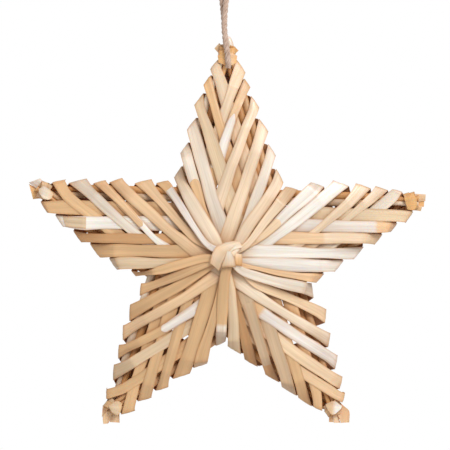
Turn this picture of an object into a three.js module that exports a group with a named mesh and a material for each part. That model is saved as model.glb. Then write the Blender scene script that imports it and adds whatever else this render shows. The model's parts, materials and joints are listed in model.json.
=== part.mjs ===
import * as THREE from "three";

// A star wound from flat straw over a five-pointed frame of straw bundles, on a twine loop.
// Sizes are in millimetres. The star stands in the X and Z plan and faces -Y.
// "Rise" is the distance in front of the frame's middle plane, towards the viewer.

// Frame: five tips in order round the star, starting at the top and going left.
const TIP_NAMES = ["top", "left", "lower_left", "lower_right", "right"];
const TIP_REACH = [99, 95.6, 95.8, 94.2, 95.1];
const TIP_ANGLE_DEG = [89.9, 161.7, 234.0, 304.1, 15.2];
const FRAME_DROP = 148;
const FRAME_SHIFT = 1.2;
const BUNDLE_WIDTH = 7.6;
const BUNDLE_TIP_WIDTH = 4.8;
const BUNDLE_THICKNESS = 4;
const BUNDLE_SIDES = 8;
const BUNDLE_END_REACH = [5.5, 8.5, 9.5, 9, 8];
const BUNDLE_END_SPREAD = 1.35;
const CROSSING_FLAT = 12;
const GAP = 0.3;

// Winding: the folds on each arm's two edges, turn by turn from the tip inward. Each gives its distance
// from the tip along the bundle, how far it stands outside the bundle's middle, and the strip's width.
const FOLDS_LEFT = [
  [[7.1, 4.1, 6.1], [15.8, 5.1, 5.2], [26.5, 6.3, 6.3], [38.9, 5.9, 6.3], [51.7, 5.8, 5.4], [64.0, 5.2, 6.2]],
  [[3.9, 6.4, 7.0], [14.6, 7.5, 6.0], [26.6, 8.4, 6.0], [37.6, 8.7, 7.0], [48.8, 8.6, 6.2], [60.4, 6.4, 3.0]],
  [[3.8, 6.5, 6.2], [14.8, 6.0, 6.0], [24.8, 6.6, 5.5], [36.3, 6.9, 7.2], [46.8, 7.9, 6.4], [60.6, 4.6, 6.2]],
  [[2.7, 6.6, 5.8], [10.3, 7.5, 6.2], [20.8, 8.2, 6.6], [32.5, 8.1, 6.2], [44.5, 9.8, 6.2], [58.6, 7.2, 6.2]],
  [[5.3, 4.7, 6.4], [14.2, 5.9, 5.6], [23.6, 6.9, 6.4], [34.8, 7.9, 7.2], [46.6, 7.0, 6.2], [59.2, 4.8, 6.0]],
];
const FOLDS_RIGHT = [
  [[8.3, 5.0, 6.0], [16.8, 5.4, 4.8], [27.4, 6.6, 5.6], [39.7, 7.3, 6.3], [52.9, 7.8, 5.6], [66.2, 7.8, 6.4]],
  [[5.2, 3.6, 7.6], [16.1, 5.5, 7.4], [27.0, 5.3, 5.4], [34.6, 6.1, 6.8], [49.0, 6.2, 7.0], [58.4, 6.1, 5.2]],
  [[3.5, 3.9, 6.4], [15.8, 5.3, 6.4], [26.4, 6.0, 5.6], [36.3, 6.8, 6.2], [46.8, 6.6, 6.6], [59.4, 5.0, 5.8]],
  [[4.5, 4.0, 5.0], [12.1, 6.2, 5.0], [21.4, 6.6, 6.2], [32.4, 6.5, 5.8], [45.6, 6.7, 5.4], [56.2, 6.6, 6.2]],
  [[4.4, 6.3, 6.4], [13.7, 6.2, 5.2], [23.6, 6.7, 5.8], [35.9, 6.7, 6.2], [47.7, 6.5, 5.8], [58.9, 6.0, 5.2]],
];
// Both edges of a straw along its run: distance in from the fold,
// then each edge's offset from the run's line.
const RUNS_LEFT = [
  [
    [[8, 3.0, -2.8]],
    [[8, 1.6, -2.6], [25, 1.6, -3.0]],
    [[5, 1.7, -3.0], [15, 2.5, -3.1], [25, 3.1, -3.1]],
    [[5, 2.9, -3.4], [20, 2.0, -4.3], [38, 1.6, -5.2]],
    [[5, 2.7, -3.2], [10, 2.2, -3.4], [20, 1.1, -3.9], [32, -0.4, -3.2]],
    [[5, 1.2, -3.5], [15, 1.7, -4.3], [25, 2.6, -4.8], [38, 2.8, -4.0]],
  ],
  [
    [[8, 3.0, -3.8]],
    [[5, 1.9, -3.4], [12, 2.2, -4.4], [25, 2.8, -3.8]],
    [[5, 1.5, -3.1], [20, 1.4, -3.3], [38, 1.8, -3.2]],
    [[5, 3.1, -3.6], [20, 2.9, -3.0], [38, 3.2, -3.2]],
    [[5, 3.1, -3.1], [15, 2.4, -3.4], [25, 1.5, -3.2], [38, 1.1, -2.6]],
    [[4, 0.0, -1.4], [8, 0.6, -2.0], [15, 2.2, -2.4], [25, 3.4, -1.3], [38, 3.8, 0.2]],
  ],
  [
    [[5, 3.2, -2.6], [15, 3.2, -1.7], [25, 3.2, -1.5]],
    [[5, 3.4, -2.6], [15, 3.5, -2.0], [25, 3.8, -1.3]],
    [[5, 2.9, -2.0], [15, 3.1, -1.6], [25, 3.5, -1.4], [38, 3.8, -1.0]],
    [[10, 3.1, -3.7], [30, 3.0, -3.9]],
    [[5, 3.0, -3.1], [15, 2.1, -3.1], [30, 0.8, -3.0]],
    [[5, 2.1, -3.3], [15, 2.3, -3.3], [35, 2.4, -2.5]],
  ],
  [
    [[4, 2.9, -1.7], [8, 3.2, -1.7], [15, 3.7, -1.1], [25, 4.2, -0.5]],
    [[5, 3.4, -2.4], [15, 4.3, -1.6], [25, 4.6, -1.2]],
    [[5, 2.4, -3.1], [15, 3.3, -2.4], [25, 4.2, -1.4], [38, 5.0, -0.4]],
    [[5, 2.9, -2.3], [15, 3.8, -1.1], [25, 4.7, -0.1], [38, 5.6, 0.9]],
    [[5, 2.3, -3.0], [15, 3.0, -1.9], [25, 4.1, -0.4], [38, 5.8, 2.0]],
    [[5, 3.2, -2.7], [15, 4.5, -1.1], [25, 5.0, 0.3], [38, 5.4, 1.3]],
  ],
  [
    [[5, 3.3, -3.2], [15, 3.6, -2.1], [25, 4.0, -1.0]],
    [[5, 3.1, -1.6], [12, 3.5, -0.6], [20, 4.1, 0.6], [30, 4.8, 1.6]],
    [[5, 4.6, -1.4], [10, 5.2, 0.1], [15, 5.6, 0.8], [25, 6.4, 2.4], [38, 7.6, 4.0]],
    [[5, 4.0, -2.8], [15, 4.9, -1.6], [25, 5.4, -0.5], [38, 5.8, 0.6]],
    [[5, 3.9, -2.8], [15, 4.2, -1.8], [25, 4.6, -0.5], [38, 4.8, 1.1]],
    [[5, 3.4, -2.8], [15, 3.6, -1.3], [25, 4.0, 0.3], [38, 4.6, 1.6]],
  ],
];
const RUNS_RIGHT = [
  [
    [[8, 2.5, -3.0], [20, 1.8, -3.0]],
    [[8, 1.5, -2.4], [20, 0.9, -3.4], [30, 1.0, -3.9]],
    [[5, 2.9, -1.6], [15, 2.1, -2.7], [25, 1.8, -3.4], [38, 1.2, -4.3]],
    [[10, 3.4, -2.4], [25, 3.4, -2.4], [38, 3.2, -2.9]],
    [[5, 3.3, -1.8], [10, 3.9, -1.6], [20, 4.4, -0.9], [38, 4.4, 0.3]],
    [[5, 4.0, -1.5], [15, 4.3, -1.5], [30, 3.7, -2.3]],
  ],
  [
    [[8, 1.6, -3.9], [20, 1.0, -4.4]],
    [[8, 2.2, -3.7], [20, 0.6, -4.3], [38, -0.7, -5.4]],
    [[5, 1.8, -2.6], [10, 1.2, -3.0], [20, -0.4, -4.3], [30, -2.5, -5.8], [40, -4.2, -7.4]],
    [[5, 2.6, -3.5], [10, 2.1, -3.9], [20, 1.1, -4.8], [30, -0.3, -5.6], [38, -1.6, -6.4]],
    [[5, 2.7, -3.1], [10, 1.7, -3.5], [20, 0.3, -4.2], [38, -2.3, -5.5]],
    [[4, 3.0, -1.7], [10, 1.9, -2.0], [20, 0.9, -2.9], [30, -0.8, -3.9], [38, -1.8, -4.7]],
  ],
  [
    [[8, 1.6, -3.4], [20, 1.0, -3.9]],
    [[8, 1.8, -3.4], [20, 0.9, -4.3], [30, 0.7, -4.8]],
    [[5, 1.4, -2.7], [10, 0.6, -3.6], [20, -0.6, -4.9], [30, -0.9, -5.7]],
    [[5, 2.6, -2.8], [15, 1.4, -3.5], [25, 0.4, -4.4], [38, -0.3, -5.3]],
    [[10, 2.8, -3.2], [30, 2.3, -2.9]],
    [[5, 2.2, -2.2], [15, 2.3, -1.9], [30, 2.8, -1.3]],
  ],
  [
    [[8, 2.0, -2.9], [20, 1.3, -3.4]],
    [[8, 2.6, -2.6], [25, 2.7, -2.8]],
    [[8, 3.0, -3.0], [35, 3.3, -3.1]],
    [[4, 2.7, -1.7], [10, 3.0, -1.7], [20, 3.1, -2.1], [35, 3.1, -2.6]],
    [[5, 2.4, -2.5], [20, 2.4, -2.1]],
    [[5, 2.8, -3.1], [15, 1.9, -3.2], [30, 1.7, -3.7]],
  ],
  [
    [[8, 2.9, -3.1]],
    [[5, 3.1, -2.2], [15, 3.0, -2.7]],
    [[8, 2.3, -2.9], [30, 2.4, -3.0]],
    [[10, 3.0, -2.3], [20, 2.9, -2.4], [30, 2.9, -3.0]],
    [[5, 3.2, -2.9], [15, 4.1, -2.6], [30, 4.4, -2.1]],
    [[5, 3.0, -1.8], [12, 3.1, -0.3], [20, 3.1, 0.6], [35, 2.4, 0.9]],
  ],
];
const TURNS = 6;
const TURNS_TO_WAIST = 4;
const STRAW_THICKNESS = 0.28;
const STRAW_CLEARANCE = 0.06;
const HEIGHT_STEP = 0.03;
const FOLD_RISE = 1.3;
const FOLD_NECK = 4;
const WAIST_POINT = [-0.25, -3.5];
const WAIST_WIDTH = 4.2;
const WAIST_OFFSET = 1.6;
const BACK_WIDTH = 11.6;
const BACK_SPREADS_AT = 0.34;

// Bindings, centre knot and hanging twine.
const BINDING_LENGTH = 5.2;
const BINDING_THICKNESS = 0.9;
const BINDING_CORNER = 0.9;
const BINDING_CLEAR_END = 1.1;
const KNOT_WIDTH = 14.5;
const KNOT_HEIGHT = 14.5;
const KNOT_THICKNESS = 2.2;
const KNOT_TOP_SHARE = 0.62;
const TWINE_DIAMETER = 2.6;
const TWINE_SIDES = 8;
const TWINE_STEPS = 44;
const LOOP_BEND = 5.6;
const TIP_KNOT_WIDTH = 6.4;
const TIP_KNOT_HEIGHT = 5.6;
const TIP_KNOT_DEPTH = 5.2;

const radians = (degrees) => (degrees * Math.PI) / 180;
const add = (p, q, k = 1) => [p[0] + q[0] * k, p[1] + q[1] * k];
const toward = (p, q) => {
  const length = Math.hypot(q[0] - p[0], q[1] - p[1]);
  return [(q[0] - p[0]) / length, (q[1] - p[1]) / length];
};
const mix = (a, b, share) => a + (b - a) * share;
const mixPoint = (p, q, share) => [mix(p[0], q[0], share), mix(p[1], q[1], share)];
const crossOf = (p, q) => p[0] * q[1] - p[1] * q[0];
const distance = (p, q) => Math.hypot(p[0] - q[0], p[1] - q[1]);

const TIPS = TIP_REACH.map((reach, i) => [
  reach * Math.cos(radians(TIP_ANGLE_DEG[i])),
  reach * Math.sin(radians(TIP_ANGLE_DEG[i])),
]);
const place = (plan, rise) => new THREE.Vector3(plan[0] + FRAME_SHIFT, -rise, plan[1] - FRAME_DROP);

const star = new THREE.Group();
star.name = "straw_star";

// Closed mesh from rings of points, capped at both ends with fans.
function loft(name, rings, closed = false) {
  const sides = rings[0].length;
  const positions = [];
  for (const ring of rings) for (const point of ring) positions.push(point.x, point.y, point.z);
  const faces = [];
  const last = closed ? rings.length : rings.length - 1;
  for (let i = 0; i < last; i++) {
    const j = (i + 1) % rings.length;
    for (let k = 0; k < sides; k++) {
      const m = (k + 1) % sides;
      faces.push(i * sides + k, i * sides + m, j * sides + m);
      faces.push(i * sides + k, j * sides + m, j * sides + k);
    }
  }
  if (!closed) {
    const end = (rings.length - 1) * sides;
    for (let k = 1; k < sides - 1; k++) {
      faces.push(0, k + 1, k);
      faces.push(end, end + k, end + k + 1);
    }
  }
  return mesh(name, positions, faces);
}

// Names a mesh, turns its faces outward and adds it to the star.
function mesh(name, positions, faces) {
  let volume = 0;
  const at = (i) => new THREE.Vector3(positions[3 * i], positions[3 * i + 1], positions[3 * i + 2]);
  for (let i = 0; i < faces.length; i += 3) {
    volume += at(faces[i]).dot(at(faces[i + 1]).cross(at(faces[i + 2])));
  }
  const outward = volume > 0 ? faces : faces.slice().reverse();
  const geometry = new THREE.BufferGeometry();
  geometry.setAttribute("position", new THREE.Float32BufferAttribute(positions, 3));
  geometry.setIndex(outward);
  geometry.computeVertexNormals();
  const made = new THREE.Mesh(geometry);
  made.name = name;
  star.add(made);
  return made;
}

// Height fields keep the outermost surface laid so far, in front and behind.
const CELL = 0.25;
const FIELD_REACH = Math.max(...TIP_REACH) * 1.25;
const FIELD_SIDE = Math.round((2 * FIELD_REACH) / CELL);
const fields = {
  front: new Float32Array(FIELD_SIDE ** 2).fill(-1e6),
  back: new Float32Array(FIELD_SIDE ** 2).fill(-1e6),
};
const cellOf = (value) => Math.round((value + FIELD_REACH) / CELL);

function stampPoint(side, plan, height) {
  const index = cellOf(plan[1]) * FIELD_SIDE + cellOf(plan[0]);
  if (height > fields[side][index]) fields[side][index] = height;
}

function fieldAt(side, plan) {
  let height = -1e6;
  const column = cellOf(plan[0]);
  const row = cellOf(plan[1]);
  for (let i = -1; i <= 1; i++) {
    for (let j = -1; j <= 1; j++) {
      height = Math.max(height, fields[side][(row + i) * FIELD_SIDE + column + j]);
    }
  }
  return height;
}

function highestAcross(side, left, right) {
  const steps = Math.max(2, Math.ceil(distance(left, right) / CELL));
  let height = -1e6;
  for (let i = 0; i <= steps; i++) height = Math.max(height, fieldAt(side, mixPoint(left, right, i / steps)));
  return height;
}

// Bundles pass over and under in turn: in front at one tip, behind, in front, behind at the other tip.
const BUNDLE_RISE = BUNDLE_THICKNESS / 2 + GAP / 2;
const bundles = TIPS.map((start, i) => {
  const other = (i + 2) % 5;
  const end = TIPS[other];
  const length = distance(start, end);
  return { start, end, length, along: toward(start, end), first: i, second: other };
});
function crossingDistance(one, two) {
  const offset = add(two.start, one.start, -1);
  return crossOf(offset, two.along) / crossOf(one.along, two.along);
}
for (const bundle of bundles) {
  const others = bundles.filter((b) => b.first !== bundle.second && b.second !== bundle.first && b !== bundle);
  const inner = others.map((b) => crossingDistance(bundle, b)).sort((a, b) => a - b);
  const half = CROSSING_FLAT / 2;
  bundle.keys = [
    [-2 * CROSSING_FLAT, 1], [CROSSING_FLAT, 1], [inner[0] - half, -1], [inner[0] + half, -1],
    [inner[1] - half, 1], [inner[1] + half, 1],
    [bundle.length - CROSSING_FLAT, -1], [bundle.length + 2 * CROSSING_FLAT, -1],
  ];
}
function bundleRise(bundle, at) {
  const keys = bundle.keys;
  let i = 0;
  while (i < keys.length - 2 && at > keys[i + 1][0]) i++;
  const share = Math.min(1, Math.max(0, (at - keys[i][0]) / (keys[i + 1][0] - keys[i][0])));
  return mix(keys[i][1], keys[i + 1][1], share) * BUNDLE_RISE;
}
function bundleHalfWidth(bundle, at) {
  const fromEnd = Math.min(at, bundle.length - at);
  const grown = Math.min(1, Math.max(0, (fromEnd - CROSSING_FLAT) / CROSSING_FLAT));
  const spread = fromEnd < -BINDING_LENGTH / 2 - BINDING_CLEAR_END - 0.01 ? BUNDLE_END_SPREAD : 1;
  return (mix(BUNDLE_TIP_WIDTH, BUNDLE_WIDTH, grown) / 2) * spread;
}
function bundleSection(bundle, at, sides) {
  const centre = add(bundle.start, bundle.along, at);
  const across = [-bundle.along[1], bundle.along[0]];
  const ring = [];
  for (let k = 0; k < sides; k++) {
    const angle = ((k + 0.5) * 2 * Math.PI) / sides;
    const plan = add(centre, across, Math.cos(angle) * bundleHalfWidth(bundle, at));
    ring.push([plan, bundleRise(bundle, at) + (Math.sin(angle) * BUNDLE_THICKNESS) / 2]);
  }
  return ring;
}
for (const bundle of bundles) {
  const ends = [-BUNDLE_END_REACH[bundle.first], bundle.length + BUNDLE_END_REACH[bundle.second]];
  const neck = BINDING_LENGTH / 2 + BINDING_CLEAR_END;
  const stations = [
    ends[0], -neck - 0.5, -neck, ...bundle.keys.slice(1, 7).map((key) => key[0]),
    2 * CROSSING_FLAT, bundle.length - 2 * CROSSING_FLAT, bundle.length + neck, bundle.length + neck + 0.5, ends[1],
  ].sort((a, b) => a - b);
  const rings = stations.map((at) =>
    bundleSection(bundle, at, BUNDLE_SIDES).map(([plan, rise]) => place(plan, rise)),
  );
  loft("frame_bundle_" + TIP_NAMES[bundle.first] + "_to_" + TIP_NAMES[bundle.second], rings);
  const across = [-bundle.along[1], bundle.along[0]];
  for (let at = ends[0]; at <= ends[1]; at += CELL / 2) {
    const half = bundleHalfWidth(bundle, at);
    const rise = bundleRise(bundle, at);
    for (let side = -half; side <= half; side += CELL / 2) {
      const plan = add(add(bundle.start, bundle.along, at), across, side);
      const crown = (BUNDLE_THICKNESS / 2) * Math.sqrt(Math.max(0, 1 - (side / half) ** 2 * 0.9));
      stampPoint("front", plan, rise + crown);
      stampPoint("back", plan, crown - rise);
    }
  }
}

// Bindings: a flat ring round the crossed bundles at each tip.
function ringPoints(halfWidth, halfDepth, corner) {
  const points = [];
  const corners = [[1, 1], [-1, 1], [-1, -1], [1, -1]];
  corners.forEach(([sx, sy], quadrant) => {
    for (let k = 0; k < 3; k++) {
      const angle = ((quadrant + k / 2) * Math.PI) / 2;
      points.push([
        sx * (halfWidth - corner) + Math.cos(angle) * corner,
        sy * (halfDepth - corner) + Math.sin(angle) * corner,
      ]);
    }
  });
  return points;
}
const bindings = TIPS.map((tip, i) => {
  const inward = toward([0, 0], add(toward(tip, TIPS[(i + 2) % 5]), toward(tip, TIPS[(i + 3) % 5])));
  const spread = Math.abs(crossOf(toward(tip, TIPS[(i + 2) % 5]), inward));
  const half = BINDING_LENGTH / 2;
  const tangent = spread / Math.sqrt(1 - spread ** 2);
  const innerWidth = (BUNDLE_TIP_WIDTH / 2) * Math.sqrt(1 + tangent ** 2) + half * tangent + GAP;
  const innerDepth = BUNDLE_THICKNESS + GAP / 2 + GAP;
  return { tip, inward, half, innerWidth, innerDepth, across: [-inward[1], inward[0]] };
});
bindings.forEach((binding, i) => {
  const inner = ringPoints(binding.innerWidth, binding.innerDepth, BINDING_CORNER);
  const outer = ringPoints(
    binding.innerWidth + BINDING_THICKNESS,
    binding.innerDepth + BINDING_THICKNESS,
    BINDING_CORNER + BINDING_THICKNESS,
  );
  const at = (point, along) =>
    place(add(add(binding.tip, binding.inward, along), binding.across, point[0]), point[1]);
  const rings = inner.map((point, k) => [
    at(point, -binding.half), at(outer[k], -binding.half), at(outer[k], binding.half), at(point, binding.half),
  ]);
  loft("tip_binding_" + TIP_NAMES[i], rings, true);
  const reach = binding.innerWidth + BINDING_THICKNESS;
  for (let along = -binding.half - CELL; along <= binding.half + CELL; along += CELL / 2) {
    for (let side = -reach - CELL; side <= reach + CELL; side += CELL / 2) {
      const plan = add(add(binding.tip, binding.inward, along), binding.across, side);
      stampPoint("front", plan, binding.innerDepth + BINDING_THICKNESS);
      stampPoint("back", plan, binding.innerDepth + BINDING_THICKNESS);
    }
  }
});

// A fold of the winding: where a straw turns round the outside of a bundle.
function foldAt(arm, edge, turn) {
  const [along, outside, width] = (edge === "left" ? FOLDS_LEFT : FOLDS_RIGHT)[arm][turn];
  const bundle = edge === "left" ? bundles[arm] : bundles[(arm + 3) % 5];
  const direction = toward(TIPS[arm], edge === "left" ? TIPS[(arm + 2) % 5] : TIPS[(arm + 3) % 5]);
  const outward = edge === "left" ? [direction[1], -direction[0]] : [-direction[1], direction[0]];
  const onBundle = edge === "left" ? along : bundle.length - along;
  return {
    point: add(add(TIPS[arm], direction, along), outward, outside),
    outward,
    outside,
    width,
    rise: bundleRise(bundle, onBundle),
  };
}

// Ends of a straw's section on its fold line, left and right of the way it runs.
function foldEnds(fold, before, after, run) {
  const incoming = toward(before, fold.point);
  const outgoing = toward(fold.point, after);
  const line = toward([0, 0], add(incoming, outgoing));
  const length = fold.width / Math.abs(crossOf(incoming, line));
  const sign = crossOf(run, line) > 0 ? 1 : -1;
  return { line: [line[0] * sign, line[1] * sign], half: length / 2 };
}

// Keeps the part of the fold line that no earlier straw or bundle covers.
function freeRun(point, line, half) {
  const step = CELL / 2;
  const margin = 2;
  let best = [0, 0];
  let start = null;
  for (let at = -half; at <= half + step; at += step) {
    let free = at <= half;
    for (let m = -margin; m <= margin && free; m++) {
      const plan = add(point, line, at + m * CELL * 0.5);
      if (fieldAt("front", plan) > -1e5 || fieldAt("back", plan) > -1e5) free = false;
    }
    if (free && start === null) start = at;
    if (!free && start !== null) {
      if (at - step - start > best[1] - best[0]) best = [start, at - step];
      start = null;
    }
  }
  return best;
}

// Upper envelope of the heights that a taut straw has to clear.
function envelope(stations) {
  const kept = [];
  for (const station of stations) {
    while (kept.length >= 2) {
      const a = kept[kept.length - 2];
      const b = kept[kept.length - 1];
      const line = a.need + ((station.need - a.need) * (b.at - a.at)) / (station.at - a.at);
      if (b.need <= line + 1e-9) kept.pop();
      else break;
    }
    kept.push(station);
  }
  return kept;
}

// Lays a straw along plan sections on one side of the star and returns its sections in space.
function lay(side, planKeys, startNeed, endNeed) {
  const stations = [];
  let run = 0;
  for (let i = 0; i < planKeys.length - 1; i++) {
    const a = planKeys[i];
    const b = planKeys[i + 1];
    const span = distance(mixPoint(a.left, a.right, 0.5), mixPoint(b.left, b.right, 0.5));
    const steps = Math.max(1, Math.ceil(span / (CELL * 1.4)));
    for (let k = i === 0 ? 0 : 1; k <= steps; k++) {
      const left = mixPoint(a.left, b.left, k / steps);
      const right = mixPoint(a.right, b.right, k / steps);
      const laid = highestAcross(side, left, right);
      const clear = laid + STRAW_THICKNESS * 0.56 + STRAW_CLEARANCE;
      const need = laid > -1e5 ? Math.ceil(clear / HEIGHT_STEP) * HEIGHT_STEP : -1e5;
      stations.push({ left, right, at: run + (span * k) / steps, need, key: k === steps });
    }
    run += span;
  }
  stations[0].need = startNeed;
  stations[stations.length - 1].need = endNeed;
  const corners = envelope(stations);
  const heightAt = (at) => {
    let i = 0;
    while (i < corners.length - 2 && at > corners[i + 1].at) i++;
    const share = (at - corners[i].at) / (corners[i + 1].at - corners[i].at);
    return mix(corners[i].need, corners[i + 1].need, share);
  };
  const sign = side === "front" ? 1 : -1;
  return stations
    .filter((s) => s.key || corners.includes(s))
    .map((s) => ({ left: s.left, right: s.right, rise: sign * heightAt(s.at) }));
}

// Stamps a laid straw, so that later straws pass over it.
function stampBand(side, sections) {
  const sign = side === "front" ? 1 : -1;
  for (let i = 0; i < sections.length - 1; i++) {
    const a = sections[i];
    const b = sections[i + 1];
    const span = distance(mixPoint(a.left, a.right, 0.5), mixPoint(b.left, b.right, 0.5));
    const slope = Math.abs(a.rise - b.rise) / Math.max(span, 0.1);
    const half = (STRAW_THICKNESS / 2) * Math.min(2, Math.sqrt(1 + slope ** 2));
    const steps = Math.max(1, Math.ceil(span / (CELL / 2)));
    const wide = Math.max(distance(a.left, a.right), distance(b.left, b.right));
    const across = Math.max(1, Math.ceil(wide / (CELL / 2)));
    for (let k = 0; k <= steps; k++) {
      const left = mixPoint(a.left, b.left, k / steps);
      const right = mixPoint(a.right, b.right, k / steps);
      const rise = mix(a.rise, b.rise, k / steps);
      for (let m = 0; m <= across; m++) {
        stampPoint(side, mixPoint(left, right, m / across), sign * rise + half);
      }
    }
  }
}

// Closed strip of straw thickness through sections in space, mitred at each bend.
function strip(name, sections) {
  const lefts = sections.map((s) => place(s.left, s.rise));
  const rights = sections.map((s) => place(s.right, s.rise));
  const normals = [];
  for (let i = 0; i < sections.length - 1; i++) {
    const along = lefts[i + 1].clone().add(rights[i + 1]).sub(lefts[i]).sub(rights[i]);
    const across = rights[i].clone().add(rights[i + 1]).sub(lefts[i]).sub(lefts[i + 1]);
    normals.push(along.cross(across).normalize());
  }
  const rings = sections.map((_, i) => {
    const a = normals[Math.max(0, i - 1)];
    const b = normals[Math.min(normals.length - 1, i)];
    const mitre = a.clone().add(b).multiplyScalar(STRAW_THICKNESS / 2 / Math.max(0.4, 1 + a.dot(b)));
    return [
      lefts[i].clone().add(mitre), rights[i].clone().add(mitre),
      rights[i].clone().sub(mitre), lefts[i].clone().sub(mitre),
    ];
  });
  return loft(name, rings);
}

// The winding runs from a right edge, across the front, to the left edge two arms on,
// and then behind that arm to its right edge, where the next straw starts.
const SEQUENCE = [0, 2, 4, 1, 3];
const order = [];
for (let turn = 0; turn < TURNS; turn++) for (const arm of SEQUENCE) order.push({ arm, turn });

function startFold(step) {
  return foldAt((step.arm + 3) % 5, "right", step.turn);
}
function endFold(step) {
  return foldAt(step.arm, "left", step.turn);
}
function waistOf(step) {
  const from = startFold(step).point;
  const to = endFold(step).point;
  const along = toward(from, to);
  const across = [-along[1], along[0]];
  const reach = crossOf(along, add(WAIST_POINT, from, -1));
  const side = -Math.sign(reach) || 1;
  return { centre: add(WAIST_POINT, across, side * WAIST_OFFSET), across };
}

order.forEach((step, index) => {
  const start = startFold(step);
  const end = endFold(step);
  const next = order[index + 1];
  const target = startFold(next || { arm: 0, turn: TURNS - 1 });
  const bent = step.turn >= TURNS_TO_WAIST;
  const waist = waistOf(step);
  const frontFrom = bent ? waist.centre : end.point;
  const frontTo = bent ? waist.centre : start.point;
  const before = index > 0 ? endFold(order[index - 1]).point : foldAt(3, "left", 0).point;
  const runOut = toward(start.point, frontFrom);
  const runIn = toward(frontTo, end.point);
  const startEnds = foldEnds(start, before, frontFrom, runOut);
  const endEnds = foldEnds(end, frontTo, target.point, runIn);
  const backRun = toward(end.point, target.point);
  const farther = next ? (next.turn >= TURNS_TO_WAIST ? waistOf(next).centre : endFold(next).point) : WAIST_POINT;
  const targetEnds = foldEnds(target, end.point, farther, backRun);

  const settle = (fold, ends) => {
    let point = fold.point;
    let kept = freeRun(point, ends.line, ends.half);
    for (let shift = 0; shift < 8 && kept[1] - kept[0] < ends.half * 1.2; shift++) {
      point = add(point, fold.outward, 0.3);
      kept = freeRun(point, ends.line, ends.half);
    }
    return { point, kept, line: ends.line, half: ends.half };
  };
  const startKept = step.kept || settle(start, startEnds);
  const endKept = settle(end, endEnds);

  const foldSection = (kept) => {
    const one = add(kept.point, kept.line, kept.kept[1]);
    const two = add(kept.point, kept.line, kept.kept[0]);
    return { left: one, right: two };
  };
  const oriented = (section, run) => {
    const across = add(section.left, section.right, -1);
    return crossOf(run, across) > 0 ? section : { left: section.right, right: section.left };
  };
  const fullSection = (kept, run) =>
    oriented(
      { left: add(kept.point, kept.line, kept.half), right: add(kept.point, kept.line, -kept.half) },
      run,
    );
  const between = (a, b, share) => ({
    left: mixPoint(a.left, b.left, share),
    right: mixPoint(a.right, b.right, share),
  });

  // Front span through the straw's measured edges, with the waist of the last turns.
  const runSections = (near, far, edges) => {
    const along = toward(near, far);
    const across = [-along[1], along[0]];
    return edges.map(([at, one, other]) => ({
      left: add(add(near, along, at), across, one),
      right: add(add(near, along, at), across, other),
    }));
  };
  const keys = [oriented(foldSection(startKept), runOut)];
  const startRun = RUNS_RIGHT[(step.arm + 3) % 5][step.turn];
  const begun = runSections(start.point, bent ? WAIST_POINT : end.point, startRun);
  keys.push(...begun.map((section) => oriented(section, runOut)));
  if (bent) {
    const middle = {
      left: add(waist.centre, waist.across, WAIST_WIDTH / 2),
      right: add(waist.centre, waist.across, -WAIST_WIDTH / 2),
    };
    keys.push(oriented(middle, toward(start.point, end.point)));
  }
  const closing = runSections(end.point, bent ? WAIST_POINT : start.point, RUNS_LEFT[step.arm][step.turn]);
  keys.push(...closing.reverse().map((section) => oriented(section, runIn)));
  keys.push(oriented(foldSection(endKept), runIn));
  const front = lay("front", keys, start.rise + FOLD_RISE, end.rise + FOLD_RISE);

  // Back crossing, pressed out flat until it meets its neighbours, stopping just short of the next fold.
  const c = fullSection(endKept, backRun);
  const targetKept = settle(target, targetEnds);
  const d = oriented(foldSection(targetKept), backRun);
  const reachBack = distance(endKept.point, targetKept.point);
  const stop = next ? (STRAW_THICKNESS / 2 + GAP) / 0.6 : target.outside;
  const firstBack = oriented(foldSection(endKept), backRun);
  const pressed = (share) => {
    const { left, right } = between(c, d, share);
    const centre = mixPoint(left, right, 0.5);
    const across = toward(right, left);
    return { left: add(centre, across, BACK_WIDTH / 2), right: add(centre, across, -BACK_WIDTH / 2) };
  };
  const neck = FOLD_NECK / reachBack;
  const spreads = Math.max(BACK_SPREADS_AT, neck + 0.06);
  const backKeys = [
    firstBack, between(c, d, neck), pressed(spreads), pressed(1 - spreads), between(c, d, 1 - stop / reachBack),
  ];
  const backEnd = next ? -(target.rise - FOLD_RISE) : BUNDLE_RISE + BUNDLE_THICKNESS / 2 + 0.8;
  const back = lay("back", backKeys, -(end.rise - FOLD_RISE), backEnd);
  if (next) next.kept = targetKept;

  // The front and back sections name left and right in their own run, so the back ones are swapped to match.
  const last = front[front.length - 1];
  const swap = distance(back[0].left, last.left) > distance(back[0].left, last.right);
  const behind = swap ? back.map((s) => ({ left: s.right, right: s.left, rise: s.rise })) : back;
  const tucked = { left: front[0].left, right: front[0].right, rise: start.rise - FOLD_RISE };
  const sections = [tucked, ...front, ...behind];
  strip("straw_turn_" + (step.turn + 1) + "_to_" + TIP_NAMES[step.arm], sections);
  stampBand("front", front);
  stampBand("back", behind);
});

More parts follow.
